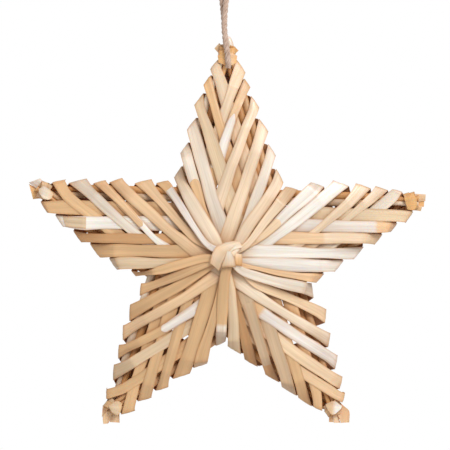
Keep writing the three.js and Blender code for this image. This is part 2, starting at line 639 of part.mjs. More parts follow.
// Centre knot: a low faceted boss on the crossing of all the straws.
let crest = 0;
for (let x = -KNOT_WIDTH / 2; x <= KNOT_WIDTH / 2; x += CELL) {
  for (let z = -KNOT_HEIGHT / 2; z <= KNOT_HEIGHT / 2; z += CELL) {
    const inside = (2 * x / KNOT_WIDTH) ** 2 + (2 * z / KNOT_HEIGHT) ** 2 <= 1;
    if (inside) crest = Math.max(crest, fieldAt("front", add(WAIST_POINT, [x, z])));
  }
}
const knotRing = (share, rise) => {
  const ring = [];
  for (let k = 0; k < 10; k++) {
    const angle = (k * 2 * Math.PI) / 10;
    const out = [(Math.cos(angle) * KNOT_WIDTH * share) / 2, (Math.sin(angle) * KNOT_HEIGHT * share) / 2];
    ring.push(place(add(WAIST_POINT, out), rise));
  }
  return ring;
};
const knotBase = crest + GAP;
loft("centre_knot", [
  knotRing(0.92, knotBase), knotRing(1, knotBase + KNOT_THICKNESS * 0.35),
  knotRing(KNOT_TOP_SHARE, knotBase + KNOT_THICKNESS),
]);


// Hanging twine: out of the hole under the top binding, up in front of it, round the loop
// and down behind it into a small knot. Points are across, up and rise.
const bindingFace = bindings[0].innerDepth + BINDING_THICKNESS;
const twineRise = bindingFace + GAP + TWINE_DIAMETER / 2;
const loopTop = FRAME_DROP + TWINE_DIAMETER / 2;
const tipTop = TIPS[0][1];
const loopCentre = loopTop - LOOP_BEND;
const knotTop = tipTop + TIP_KNOT_HEIGHT / 2;
const twinePoints = [
  [0.9, tipTop - 7.4, bindingFace], [0.85, tipTop - 5.6, twineRise - 0.45], [0.6, tipTop - 3, twineRise],
  [0.2, tipTop + 1, twineRise + 0.1], [-0.3, tipTop + 5, twineRise - 0.5], [-0.8, tipTop + 10, 5],
  [-0.9, tipTop + 16, 3], [-0.6, tipTop + 22, 1.7], [0.1, tipTop + 28, 1.15], [1.6, tipTop + 34, 0.7],
  [3.4, loopCentre - 3.2, 0.35], [LOOP_BEND - FRAME_SHIFT, loopCentre, 0.15],
  [LOOP_BEND * 0.7 - FRAME_SHIFT, loopCentre + LOOP_BEND * 0.7, 0.05], [-FRAME_SHIFT, loopTop, 0],
  [-LOOP_BEND * 0.7 - FRAME_SHIFT, loopCentre + LOOP_BEND * 0.7, -0.05], [-LOOP_BEND - FRAME_SHIFT, loopCentre, -0.15],
  [-5.8, loopCentre - 3.2, -0.35], [-4, tipTop + 34, -0.7], [-2.5, tipTop + 28, -1.15],
  [-1.8, tipTop + 22, -1.7], [-1.3, tipTop + 16, -3.2], [-0.9, tipTop + 10, -5.4],
  [-0.5, tipTop + 6.5, -7], [-0.2, knotTop + GAP, -twineRise - 0.6],
];
const twinePath = new THREE.CatmullRomCurve3(
  twinePoints.map(([across, up, rise]) => place([across, up], rise)),
);
const twineShape = new THREE.Shape();
for (let k = 0; k < TWINE_SIDES; k++) {
  const angle = ((k + 0.5) * 2 * Math.PI) / TWINE_SIDES;
  const radius = TWINE_DIAMETER / 2;
  if (k === 0) twineShape.moveTo(Math.cos(angle) * radius, Math.sin(angle) * radius);
  else twineShape.lineTo(Math.cos(angle) * radius, Math.sin(angle) * radius);
}
twineShape.closePath();
const twine = new THREE.Mesh(
  new THREE.ExtrudeGeometry(twineShape, { steps: TWINE_STEPS, bevelEnabled: false, extrudePath: twinePath }),
);
twine.name = "hanging_twine";
star.add(twine);

// Knot that ends the twine behind the top binding.
const tipKnotCentre = -(bindingFace + GAP + TIP_KNOT_DEPTH / 2);
const tipKnotRing = (share, up) => {
  const ring = [];
  for (let k = 0; k < 10; k++) {
    const angle = (k * 2 * Math.PI) / 10;
    const plan = [-0.2 + (Math.cos(angle) * TIP_KNOT_WIDTH * share) / 2, tipTop + up];
    ring.push(place(plan, tipKnotCentre + (Math.sin(angle) * TIP_KNOT_DEPTH * share) / 2));
  }
  return ring;
};
loft("twine_knot", [
  tipKnotRing(0.55, -TIP_KNOT_HEIGHT / 2), tipKnotRing(1, -TIP_KNOT_HEIGHT / 5),
  tipKnotRing(1, TIP_KNOT_HEIGHT / 5), tipKnotRing(0.55, TIP_KNOT_HEIGHT / 2),
]);

export default star;
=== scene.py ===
import json
import math
import random

import bpy
import numpy as np
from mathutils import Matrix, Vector

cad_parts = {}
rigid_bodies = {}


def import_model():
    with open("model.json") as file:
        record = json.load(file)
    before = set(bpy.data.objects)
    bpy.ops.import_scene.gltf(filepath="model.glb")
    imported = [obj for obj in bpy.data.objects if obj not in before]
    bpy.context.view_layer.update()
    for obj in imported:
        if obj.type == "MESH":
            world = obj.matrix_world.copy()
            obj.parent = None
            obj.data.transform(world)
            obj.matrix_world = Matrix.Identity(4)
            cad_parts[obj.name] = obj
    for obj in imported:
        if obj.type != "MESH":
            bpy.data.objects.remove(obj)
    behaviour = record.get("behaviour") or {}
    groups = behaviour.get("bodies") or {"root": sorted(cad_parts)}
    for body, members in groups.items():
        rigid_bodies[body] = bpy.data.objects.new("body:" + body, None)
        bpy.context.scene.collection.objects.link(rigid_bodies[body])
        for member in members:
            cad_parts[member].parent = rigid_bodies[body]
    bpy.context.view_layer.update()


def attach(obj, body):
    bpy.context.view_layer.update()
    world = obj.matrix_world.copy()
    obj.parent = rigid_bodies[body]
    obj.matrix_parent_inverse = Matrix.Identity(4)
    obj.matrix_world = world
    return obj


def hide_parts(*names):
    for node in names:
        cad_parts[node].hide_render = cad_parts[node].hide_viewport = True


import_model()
bpy.ops.object.select_all(action="DESELECT")

MM = 0.001
SEEDS = {"twine": 7, "strips": 100, "stalks": 300, "cut_ends": 500, "wraps": 700, "straps": 900,
         "tip_curl": 1300, "tip_folds": 1500}

# The frame, the folds and the strips, in millimetres, as the solids have them.
# Folds are listed by arm and turn: distance from the tip along the arm's edge, distance outside
# that edge, and the straw's width there
TIP_NAMES = ["top", "left", "lower_left", "lower_right", "right"]
TIP_REACH = [99, 95.6, 95.8, 94.2, 95.1]
TIP_ANGLE_DEG = [89.9, 161.7, 234.0, 304.1, 15.2]
FRAME_DROP = 148
FRAME_SHIFT = 1.2
BUNDLE_WIDTH = 7.6
BUNDLE_TIP_WIDTH = 4.8
BUNDLE_THICKNESS = 4
BUNDLE_END_REACH = [5.5, 8.5, 9.5, 9, 8]
BUNDLE_END_SPREAD = 1.35
SPREAD_PAST_BINDING = 1.11
BUNDLE_CROWN = 0.9
CROSSING_FLAT = 12
GAP = 0.3
FOLDS_LEFT = [
    [(7.1, 4.1, 6.1), (15.8, 5.1, 5.2), (26.5, 6.3, 6.3),
     (38.9, 5.9, 6.3), (51.7, 5.8, 5.4), (64.0, 5.2, 6.2)],
    [(3.9, 6.4, 7.0), (14.6, 7.5, 6.0), (26.6, 8.4, 6.0),
     (37.6, 8.7, 7.0), (48.8, 8.6, 6.2), (60.4, 6.4, 3.0)],
    [(3.8, 6.5, 6.2), (14.8, 6.0, 6.0), (24.8, 6.6, 5.5),
     (36.3, 6.9, 7.2), (46.8, 7.9, 6.4), (60.6, 4.6, 6.2)],
    [(2.7, 6.6, 5.8), (10.3, 7.5, 6.2), (20.8, 8.2, 6.6),
     (32.5, 8.1, 6.2), (44.5, 9.8, 6.2), (58.6, 7.2, 6.2)],
    [(5.3, 4.7, 6.4), (14.2, 5.9, 5.6), (23.6, 6.9, 6.4),
     (34.8, 7.9, 7.2), (46.6, 7.0, 6.2), (59.2, 4.8, 6.0)],
]
FOLDS_RIGHT = [
    [(8.3, 5.0, 6.0), (16.8, 5.4, 4.8), (27.4, 6.6, 5.6),
     (39.7, 7.3, 6.3), (52.9, 7.8, 5.6), (66.2, 7.8, 6.4)],
    [(5.2, 3.6, 7.6), (16.1, 5.5, 7.4), (27.0, 5.3, 5.4),
     (34.6, 6.1, 6.8), (49.0, 6.2, 7.0), (58.4, 6.1, 5.2)],
    [(3.5, 3.9, 6.4), (15.8, 5.3, 6.4), (26.4, 6.0, 5.6),
     (36.3, 6.8, 6.2), (46.8, 6.6, 6.6), (59.4, 5.0, 5.8)],
    [(4.5, 4.0, 5.0), (12.1, 6.2, 5.0), (21.4, 6.6, 6.2),
     (32.4, 6.5, 5.8), (45.6, 6.7, 5.4), (56.2, 6.6, 6.2)],
    [(4.4, 6.3, 6.4), (13.7, 6.2, 5.2), (23.6, 6.7, 5.8),
     (35.9, 6.7, 6.2), (47.7, 6.5, 5.8), (58.9, 6.0, 5.2)],
]
# Both edges of a straw along its run, by arm and turn: distance in from the fold, then each edge's
# offset from the run's line
RUNS_LEFT = [
    [
        [(8, 3.0, -2.8)],
        [(8, 1.6, -2.6), (25, 1.6, -3.0)],
        [(5, 1.7, -3.0), (15, 2.5, -3.1), (25, 3.1, -3.1)],
        [(5, 2.9, -3.4), (20, 2.0, -4.3), (38, 1.6, -5.2)],
        [(5, 2.7, -3.2), (10, 2.2, -3.4), (20, 1.1, -3.9), (32, -0.4, -3.2)],
        [(5, 1.2, -3.5), (15, 1.7, -4.3), (25, 2.6, -4.8), (38, 2.8, -4.0)],
    ],
    [
        [(8, 3.0, -3.8)],
        [(5, 1.9, -3.4), (12, 2.2, -4.4), (25, 2.8, -3.8)],
        [(5, 1.5, -3.1), (20, 1.4, -3.3), (38, 1.8, -3.2)],
        [(5, 3.1, -3.6), (20, 2.9, -3.0), (38, 3.2, -3.2)],
        [(5, 3.1, -3.1), (15, 2.4, -3.4), (25, 1.5, -3.2), (38, 1.1, -2.6)],
        [(4, 0.0, -1.4), (8, 0.6, -2.0), (15, 2.2, -2.4), (25, 3.4, -1.3), (38, 3.8, 0.2)],
    ],
    [
        [(5, 3.2, -2.6), (15, 3.2, -1.7), (25, 3.2, -1.5)],
        [(5, 3.4, -2.6), (15, 3.5, -2.0), (25, 3.8, -1.3)],
        [(5, 2.9, -2.0), (15, 3.1, -1.6), (25, 3.5, -1.4), (38, 3.8, -1.0)],
        [(10, 3.1, -3.7), (30, 3.0, -3.9)],
        [(5, 3.0, -3.1), (15, 2.1, -3.1), (30, 0.8, -3.0)],
        [(5, 2.1, -3.3), (15, 2.3, -3.3), (35, 2.4, -2.5)],
    ],
    [
        [(4, 2.9, -1.7), (8, 3.2, -1.7), (15, 3.7, -1.1), (25, 4.2, -0.5)],
        [(5, 3.4, -2.4), (15, 4.3, -1.6), (25, 4.6, -1.2)],
        [(5, 2.4, -3.1), (15, 3.3, -2.4), (25, 4.2, -1.4), (38, 5.0, -0.4)],
        [(5, 2.9, -2.3), (15, 3.8, -1.1), (25, 4.7, -0.1), (38, 5.6, 0.9)],
        [(5, 2.3, -3.0), (15, 3.0, -1.9), (25, 4.1, -0.4), (38, 5.8, 2.0)],
        [(5, 3.2, -2.7), (15, 4.5, -1.1), (25, 5.0, 0.3), (38, 5.4, 1.3)],
    ],
    [
        [(5, 3.3, -3.2), (15, 3.6, -2.1), (25, 4.0, -1.0)],
        [(5, 3.1, -1.6), (12, 3.5, -0.6), (20, 4.1, 0.6), (30, 4.8, 1.6)],
        [(5, 4.6, -1.4), (10, 5.2, 0.1), (15, 5.6, 0.8), (25, 6.4, 2.4), (38, 7.6, 4.0)],
        [(5, 4.0, -2.8), (15, 4.9, -1.6), (25, 5.4, -0.5), (38, 5.8, 0.6)],
        [(5, 3.9, -2.8), (15, 4.2, -1.8), (25, 4.6, -0.5), (38, 4.8, 1.1)],
        [(5, 3.4, -2.8), (15, 3.6, -1.3), (25, 4.0, 0.3), (38, 4.6, 1.6)],
    ],
]
RUNS_RIGHT = [
    [
        [(8, 2.5, -3.0), (20, 1.8, -3.0)],
        [(8, 1.5, -2.4), (20, 0.9, -3.4), (30, 1.0, -3.9)],
        [(5, 2.9, -1.6), (15, 2.1, -2.7), (25, 1.8, -3.4), (38, 1.2, -4.3)],
        [(10, 3.4, -2.4), (25, 3.4, -2.4), (38, 3.2, -2.9)],
        [(5, 3.3, -1.8), (10, 3.9, -1.6), (20, 4.4, -0.9), (38, 4.4, 0.3)],
        [(5, 4.0, -1.5), (15, 4.3, -1.5), (30, 3.7, -2.3)],
    ],
    [
        [(8, 1.6, -3.9), (20, 1.0, -4.4)],
        [(8, 2.2, -3.7), (20, 0.6, -4.3), (38, -0.7, -5.4)],
        [(5, 1.8, -2.6), (10, 1.2, -3.0), (20, -0.4, -4.3), (30, -2.5, -5.8), (40, -4.2, -7.4)],
        [(5, 2.6, -3.5), (10, 2.1, -3.9), (20, 1.1, -4.8), (30, -0.3, -5.6), (38, -1.6, -6.4)],
        [(5, 2.7, -3.1), (10, 1.7, -3.5), (20, 0.3, -4.2), (38, -2.3, -5.5)],
        [(4, 3.0, -1.7), (10, 1.9, -2.0), (20, 0.9, -2.9), (30, -0.8, -3.9), (38, -1.8, -4.7)],
    ],
    [
        [(8, 1.6, -3.4), (20, 1.0, -3.9)],
        [(8, 1.8, -3.4), (20, 0.9, -4.3), (30, 0.7, -4.8)],
        [(5, 1.4, -2.7), (10, 0.6, -3.6), (20, -0.6, -4.9), (30, -0.9, -5.7)],
        [(5, 2.6, -2.8), (15, 1.4, -3.5), (25, 0.4, -4.4), (38, -0.3, -5.3)],
        [(10, 2.8, -3.2), (30, 2.3, -2.9)],
        [(5, 2.2, -2.2), (15, 2.3, -1.9), (30, 2.8, -1.3)],
    ],
    [
        [(8, 2.0, -2.9), (20, 1.3, -3.4)],
        [(8, 2.6, -2.6), (25, 2.7, -2.8)],
        [(8, 3.0, -3.0), (35, 3.3, -3.1)],
        [(4, 2.7, -1.7), (10, 3.0, -1.7), (20, 3.1, -2.1), (35, 3.1, -2.6)],
        [(5, 2.4, -2.5), (20, 2.4, -2.1)],
        [(5, 2.8, -3.1), (15, 1.9, -3.2), (30, 1.7, -3.7)],
    ],
    [
        [(8, 2.9, -3.1)],
        [(5, 3.1, -2.2), (15, 3.0, -2.7)],
        [(8, 2.3, -2.9), (30, 2.4, -3.0)],
        [(10, 3.0, -2.3), (20, 2.9, -2.4), (30, 2.9, -3.0)],
        [(5, 3.2, -2.9), (15, 4.1, -2.6), (30, 4.4, -2.1)],
        [(5, 3.0, -1.8), (12, 3.1, -0.3), (20, 3.1, 0.6), (35, 2.4, 0.9)],
    ],
]
TURNS = 6
TURNS_TO_WAIST = 4
STRAW_THICKNESS = 0.28
STRAW_CLEARANCE = 0.06
HEIGHT_STEP = 0.03
FOLD_RISE = 1.3
FOLD_NECK = 4
WAIST_POINT = np.array([-0.25, -3.5])
WAIST_WIDTH = 4.2
WAIST_OFFSET = 1.6
BACK_WIDTH = 11.6
HIDDEN_WIDTH = 7.6
BACK_SPREADS_AT = 0.34
BINDING_LENGTH = 5.2
BINDING_THICKNESS = 0.9
KNOT_WIDTH = 14.5
TWINE_DIAMETER = 2.6
LOOP_BEND = 5.6
TIP_KNOT_HEIGHT = 5.6
TIP_KNOT_DEPTH = 5.2

# Straw tones by name, as seen in soft white light, except two darker ones marked below, which are painted
# shade
TONES = {
    "cream": (0.930, 0.850, 0.755),
    "peach": (0.945, 0.825, 0.685),
    "peach_tan": (0.925, 0.765, 0.595),
    "sand": (0.915, 0.812, 0.695),
    "light_tan": (0.895, 0.755, 0.600),
    "tan": (0.875, 0.715, 0.535),
    "golden": (0.890, 0.690, 0.450),
    "brown_tan": (0.780, 0.595, 0.410),
    "dark_tan": (0.710, 0.530, 0.350),
    "olive": (0.840, 0.685, 0.505),
    # Painted shade: pale olive straw as seen in shadow on the lower right arm
    "shaded_pale_olive": (0.785, 0.675, 0.550),
    "pale_olive": (0.875, 0.775, 0.645),
    "pale": (0.915, 0.860, 0.795),
    "silver": (0.945, 0.915, 0.880),
    "lilac": (0.905, 0.862, 0.825),
    # Painted shade: the darker tan of the straws behind the arms, as seen in shadow through the gaps
    "shaded_back_tan": (0.800, 0.590, 0.390),
}
TONES_LEFT = [
    ["sand", "tan", "pale_olive", "pale", "pale", "cream"],
    ["olive", "pale", "brown_tan", "olive", "pale_olive", "tan"],
    ["olive", "olive", "olive", "olive", "olive", "olive"],
    ["light_tan", "peach", "lilac", "cream", "peach", "pale"],
    ["pale", "sand", "sand", "silver", "silver", "sand"],
]
TONES_RIGHT = [
    ["sand", "light_tan", "sand", "sand", "pale", "sand"],
    ["tan", "pale", "peach_tan", "light_tan", "light_tan", "tan"],
    ["olive", "pale_olive", "olive", "light_tan", "olive", "tan"],
    # The third tone here is pale olive with painted shade
    ["tan", "olive", "shaded_pale_olive", "brown_tan", "dark_tan", "pale_olive"],
    ["pale_olive", "lilac", "sand", "silver", "silver", "peach_tan"],
]


def linear(tone):
    """A tone's colour as the shader reads it."""
    return np.array([((c + 0.055) / 1.055) ** 2.4 if c > 0.04 else c / 12.92 for c in TONES[tone]])


def unit(v):
    return v / max(1e-9, math.hypot(v[0], v[1]))


def toward(p, q):
    return unit(np.asarray(q, float) - np.asarray(p, float))


def cross2(p, q):
    return p[0] * q[1] - p[1] * q[0]


def dist(p, q):
    return math.hypot(p[0] - q[0], p[1] - q[1])


def mix(a, b, share):
    return a + (b - a) * share


def square_to(v):
    """A plan direction turned a quarter to the left."""
    return np.array([-v[1], v[0]])


def plan_travel(line):
    """Distance travelled at each point of a plan line."""
    return np.concatenate([[0], np.cumsum(np.hypot(*np.diff(line, axis=0).T))])


def travel(line):
    """Distance travelled at each point of a line in space."""
    return np.concatenate([[0], np.cumsum(np.linalg.norm(np.diff(line, axis=0), axis=1))])


TIPS = [
    np.array([r * math.cos(math.radians(a)), r * math.sin(math.radians(a))])
    for r, a in zip(TIP_REACH, TIP_ANGLE_DEG)
]

# Height fields of what is laid so far, in front and behind
CELL = 0.25
FIELD_REACH = 120
FIELD_SIDE = int(2 * FIELD_REACH / CELL)
NOTHING_LAID = -1e6
LOWEST_LAID = -1e5
FIELDS = {side: np.full((FIELD_SIDE, FIELD_SIDE), NOTHING_LAID) for side in ("front", "back")}


def cells(points):
    return np.rint((points + FIELD_REACH) / CELL).astype(int)


def stamp(side, points, heights):
    at = cells(points.reshape(-1, 2))
    np.maximum.at(FIELDS[side], (at[:, 1], at[:, 0]), heights.reshape(-1))


def field_at(side, points):
    at = cells(points)
    best = np.full(points.shape[:-1], NOTHING_LAID)
    for i in (-1, 0, 1):
        for j in (-1, 0, 1):
            best = np.maximum(best, FIELDS[side][at[..., 1] + i, at[..., 0] + j])
    return best


# Frame bundles, over and under in turn
BUNDLE_RISE = BUNDLE_THICKNESS / 2 + GAP / 2
BUNDLES = []
for i in range(5):
    start, end = TIPS[i], TIPS[(i + 2) % 5]
    BUNDLES.append({"start": start, "length": dist(start, end), "along": toward(start, end),
                    "first": i, "second": (i + 2) % 5})
for bundle in BUNDLES:
    inner = sorted(
        cross2(b["start"] - bundle["start"], b["along"]) / cross2(bundle["along"], b["along"])
        for b in BUNDLES
        if b is not bundle and b["first"] != bundle["second"] and b["second"] != bundle["first"]
    )
    half = CROSSING_FLAT / 2
    n = bundle["length"]
    stations = [-2 * CROSSING_FLAT, CROSSING_FLAT, inner[0] - half, inner[0] + half,
                inner[1] - half, inner[1] + half, n - CROSSING_FLAT, n + 2 * CROSSING_FLAT]
    bundle["keys"] = (stations, [1, 1, -1, -1, 1, 1, -1, -1])


def bundle_rise(bundle, at):
    return np.interp(at, *bundle["keys"]) * BUNDLE_RISE


def bundle_half(bundle, at):
    from_end = min(at, bundle["length"] - at)
    grown = min(1, max(0, (from_end - CROSSING_FLAT) / CROSSING_FLAT))
    spread = BUNDLE_END_SPREAD if from_end < -BINDING_LENGTH / 2 - SPREAD_PAST_BINDING else 1
    return mix(BUNDLE_TIP_WIDTH, BUNDLE_WIDTH, grown) / 2 * spread


for bundle in BUNDLES:
    across = square_to(bundle["along"])
    first, last = -BUNDLE_END_REACH[bundle["first"]], bundle["length"] + BUNDLE_END_REACH[bundle["second"]]
    for at in np.arange(first, last, CELL / 2):
        half = bundle_half(bundle, at)
        rise = bundle_rise(bundle, at)
        side = np.arange(-half, half, CELL / 2)
        points = bundle["start"] + bundle["along"] * at + across * side[:, None]
        crown = BUNDLE_THICKNESS / 2 * np.sqrt(np.maximum(0, 1 - (side / half) ** 2 * BUNDLE_CROWN))
        stamp("front", points, rise + crown)
        stamp("back", points, crown - rise)

BINDINGS = []
for i, tip in enumerate(TIPS):
    one, two = toward(tip, TIPS[(i + 2) % 5]), toward(tip, TIPS[(i + 3) % 5])
    inward = unit(one + two)
    spread = abs(cross2(one, inward))
    tangent = spread / math.sqrt(1 - spread**2)
    half = BINDING_LENGTH / 2
    inner_width = BUNDLE_TIP_WIDTH / 2 * math.sqrt(1 + tangent**2) + half * tangent + GAP
    inner_depth = BUNDLE_THICKNESS + GAP / 2 + GAP
    across = square_to(inward)
    BINDINGS.append({"tip": tip, "inward": inward, "across": across, "width": inner_width,
                     "depth": inner_depth, "face": inner_depth + BINDING_THICKNESS})
    reach = inner_width + BINDING_THICKNESS + CELL
    a, s = np.meshgrid(np.arange(-half - CELL, half + CELL, CELL / 2), np.arange(-reach, reach, CELL / 2))
    points = tip + inward * a[..., None] + across * s[..., None]
    for side in ("front", "back"):
        stamp(side, points, np.full(a.shape, inner_depth + BINDING_THICKNESS))


# Winding: how far a fold may be moved outward, how closely a strip is laid and its edges are eased,
# and how densely it is added to the height field
SETTLE_TRIES = 8
SETTLE_STEP = 0.3
SETTLE_FREE = 1.2
LAY_STEP = CELL * 1.4
LAY_EASED = (2, 5)
LAY_BLUR = 2.5
LAY_SHARE = 0.56
STAMP_SHARES = (0.0, 0.34, 0.67)


def fold_at(arm, edge, turn):
    """Where a straw folds round an arm's left or right edge."""
    along, outside, width = (FOLDS_LEFT if edge == "left" else FOLDS_RIGHT)[arm][turn]
    other = (arm + (2 if edge == "left" else 3)) % 5
    bundle = BUNDLES[arm] if edge == "left" else BUNDLES[other]
    direction = toward(TIPS[arm], TIPS[other])
    outward = np.array([direction[1], -direction[0]]) * (1 if edge == "left" else -1)
    on_bundle = along if edge == "left" else bundle["length"] - along
    return {"point": TIPS[arm] + direction * along + outward * outside, "outward": outward,
            "outside": outside, "width": width, "rise": float(bundle_rise(bundle, on_bundle))}


def fold_ends(fold, before, after, run):
    """A fold line's direction and half length, between the runs before and after it."""
    incoming, outgoing = toward(before, fold["point"]), toward(fold["point"], after)
    line = unit(incoming + outgoing)
    length = fold["width"] / abs(cross2(incoming, line))
    return line * (1 if cross2(run, line) > 0 else -1), length / 2


def free_run(point, line, half):
    """The longest part of a fold line that nothing laid covers, from and to its middle."""
    step = CELL / 2
    offsets = np.arange(-half, half + step, step)
    near = np.array([m * CELL * 0.5 for m in range(-2, 3)])
    points = point + line * (offsets[:, None] + near[None, :])[..., None]
    laid = np.maximum(field_at("front", points), field_at("back", points))
    covered = (laid > LOWEST_LAID).any(axis=1)
    covered |= offsets > half
    best, start = (0.0, 0.0), None
    for at, busy in list(zip(offsets, covered)) + [(half + 2 * step, True)]:
        if not busy and start is None:
            start = at
        if busy and start is not None:
            if at - step - start > best[1] - best[0]:
                best = (start, at - step)
            start = None
    return best


def settle(fold, line, half):
    """A fold moved outward in small steps until enough of its line is free."""
    point = fold["point"]
    kept = free_run(point, line, half)
    for _ in range(SETTLE_TRIES):
        if kept[1] - kept[0] >= half * SETTLE_FREE:
            break
        point = point + fold["outward"] * SETTLE_STEP
        kept = free_run(point, line, half)
    return {"point": point, "kept": kept, "line": line, "half": half}


def envelope(at, need):
    """The stations at which a taut strip touches what it must clear."""
    kept = []
    for i in range(len(at)):
        while len(kept) >= 2:
            a, b = kept[-2], kept[-1]
            line = need[a] + (need[i] - need[a]) * (at[b] - at[a]) / (at[i] - at[a])
            if need[b] <= line + 1e-9:
                kept.pop()
            else:
                break
        kept.append(i)
    return kept


def blur(values, at, sigma):
    """Gaussian smoothing of values along the distances at."""
    weight = np.exp(-0.5 * ((at[:, None] - at[None, :]) / sigma) ** 2)
    weight *= np.gradient(at)[None, :]
    weight /= weight.sum(axis=1, keepdims=True)
    return weight @ values


def lay(side, keys, start_need, end_need):
    """A taut strip over what is laid: arrays of left and right points and heights, close together."""
    lefts, rights = [keys[0][0]], [keys[0][1]]
    for a, b in zip(keys, keys[1:]):
        span = dist((a[0] + a[1]) / 2, (b[0] + b[1]) / 2)
        steps = max(1, math.ceil(span / LAY_STEP))
        for k in range(1, steps + 1):
            lefts.append(mix(a[0], b[0], k / steps))
            rights.append(mix(a[1], b[1], k / steps))
    lefts, rights = np.array(lefts), np.array(rights)
    at = plan_travel((lefts + rights) / 2)
    if side == "front":
        eased = np.clip((np.minimum(at, at[-1] - at) - LAY_EASED[0]) / LAY_EASED[1], 0, 1)[:, None]
        lefts, rights = (mix(edge, blur(edge, at, LAY_BLUR), eased) for edge in (lefts, rights))
    widest = np.hypot(*(lefts - rights).T).max()
    shares = np.linspace(0, 1, max(2, math.ceil(widest / CELL)) + 1)
    points = lefts[:, None, :] * (1 - shares)[None, :, None] + rights[:, None, :] * shares[None, :, None]
    laid = field_at(side, points).max(axis=1)
    need = np.ceil((laid + STRAW_THICKNESS * LAY_SHARE + STRAW_CLEARANCE) / HEIGHT_STEP) * HEIGHT_STEP
    need[laid < LOWEST_LAID] = LOWEST_LAID
    need[0], need[-1] = start_need, end_need
    kept = envelope(at, need)
    heights = np.interp(at, at[kept], need[kept])
    return lefts, rights, heights if side == "front" else -heights


def stamp_band(side, lefts, rights, rises):
    """Adds a laid strip to the height field on its side."""
    sign = 1 if side == "front" else -1
    middle = (lefts + rights) / 2
    step = np.hypot(*np.diff(middle, axis=0).T)
    slope = np.abs(np.diff(rises)) / np.maximum(step, 0.1)
    half = STRAW_THICKNESS / 2 * np.minimum(2, np.sqrt(1 + slope**2))
    half = np.concatenate([half, half[-1:]])
    for part in STAMP_SHARES:
        l = lefts[:-1] + (lefts[1:] - lefts[:-1]) * part
        r = rights[:-1] + (rights[1:] - rights[:-1]) * part
        h = rises[:-1] + (rises[1:] - rises[:-1]) * part
        widest = np.hypot(*(l - r).T).max()
        shares = np.linspace(0, 1, max(2, math.ceil(widest / (CELL / 2))) + 1)
        points = l[:, None, :] * (1 - shares)[None, :, None] + r[:, None, :] * shares[None, :, None]
        stamp(side, points, np.repeat((sign * h + half[:-1])[:, None], len(shares), axis=1))


# Making strips from grids
def fresh(name):
    made = bpy.context.object
    made.name = name
    made.data.name = name
    return made


def in_row(plan, rise):
    """Row-frame metres from plan points and rises in millimetres."""
    plan = np.asarray(plan, float)
    across, up = plan[..., 0] + FRAME_SHIFT, plan[..., 1] - FRAME_DROP
    return np.stack([across, -np.asarray(rise, float), up], axis=-1) * MM


def sheet_grid(name, points, colours, lengths, widths):
    """A grid primitive laid onto points[station][across], with the colours given, which for straws hold
    painted shade, and its UVs in centimetres.
    """
    stations, columns = points.shape[:2]
    bpy.ops.object.select_all(action="DESELECT")
    bpy.ops.mesh.primitive_grid_add(x_subdivisions=columns - 1, y_subdivisions=stations - 1, size=1)
    made = fresh(name)
    data = made.data
    data.vertices.foreach_set("co", np.asarray(points, np.float32).reshape(-1))
    data.update()
    tone = data.attributes.new("tone", "FLOAT_COLOR", "POINT")
    opaque = np.concatenate([colours.reshape(-1, 3), np.ones((stations * columns, 1))], axis=1)
    tone.data.foreach_set("color", opaque.astype(np.float32).reshape(-1))
    layer = data.uv_layers.active or data.uv_layers.new(name="UVMap")
    index = np.zeros(len(data.loops), np.int32)
    data.loops.foreach_get("vertex_index", index)
    uv = np.stack([lengths.reshape(-1)[index], widths.reshape(-1)[index]], axis=1) / 10
    layer.data.foreach_set("uv", uv.astype(np.float32).reshape(-1))
    return made


def pick(made):
    bpy.ops.object.select_all(action="DESELECT")
    bpy.context.view_layer.objects.active = made
    made.select_set(True)


def edit_all(made):
    pick(made)
    bpy.ops.object.mode_set(mode="EDIT")
    bpy.ops.mesh.select_all(action="SELECT")


def object_mode():
    bpy.ops.object.mode_set(mode="OBJECT")


def thicken(made, thickness):
    """A wall of the given thickness, half of it on each side of the sheet."""
    pick(made)
    wall = made.modifiers.new("wall", "SOLIDIFY")
    wall.thickness = thickness * MM
    wall.offset = 0.0
    bpy.ops.object.modifier_apply(modifier=wall.name)
    edit_all(made)
    bpy.ops.mesh.normals_make_consistent(inside=False)
    object_mode()


def smooth(made, degrees):
    pick(made)
    bpy.ops.object.shade_smooth_by_angle(angle=math.radians(degrees))


def dress(made, material, replaced=()):
    made.data.materials.clear()
    made.data.materials.append(material)
    if replaced:
        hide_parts(*replaced)
    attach(made, "root")


# A straw's grid: columns across it, a little closer at its edges, and stations along it in
# millimetres, close at sharp turns and shaped ends
COLUMNS = 11
COLUMN_EASE, COLUMN_SPAN = 0.12, 0.76
EVEN_STEP = 0.25
BEND_STEP, CURVE_STEP, RUN_STEP = 0.25, 0.75, 1.6
SHARP_TURN, SLIGHT_TURN = 0.03, 0.006
END_EASED, END_SHAPED = 1.5, 3
ROUND_LEAST = 0.12
POINT_LEAST, POINT_LENGTH = 0.15, 1.7
STRAW_SMOOTH_DEG, TUBE_SMOOTH_DEG = 50, 60
SEAM_REACH = 1e-7
# Its unevenness: heights in millimetres, and spreads as shares of its half width
FULL_WIDTH = 5
EDGE_WAVE, EDGE_RIPPLE = 0.16, 0.08
CUP_SINK = 0.45
RIDGE_HEIGHT, GROOVE_DEPTH, RIPPLE_HEIGHT, CREASE_DEPTH = 0.10, 0.08, 0.05, 0.35
RIDGE_SPREAD, GROOVE_SPREAD, CREASE_SPREAD = 0.13, 0.10, 0.07
# Its tint: golden edges, partly the straw's own edge colour and partly painted shade along the seams; painted
# shade in darker golden at its folds and in its crease; and where its streaks start
GOLDEN_SHADE = np.array([0.66, 0.53, 0.42])
EDGE_TINT_FROM, EDGE_TINT_OVER = 0.74, 0.26
FOLD_SHADE_RATE = 5
CREASE_SHADE, CREASE_SHADE_SPREAD = 0.75, 0.06
UV_SHIFT = (40, 30)


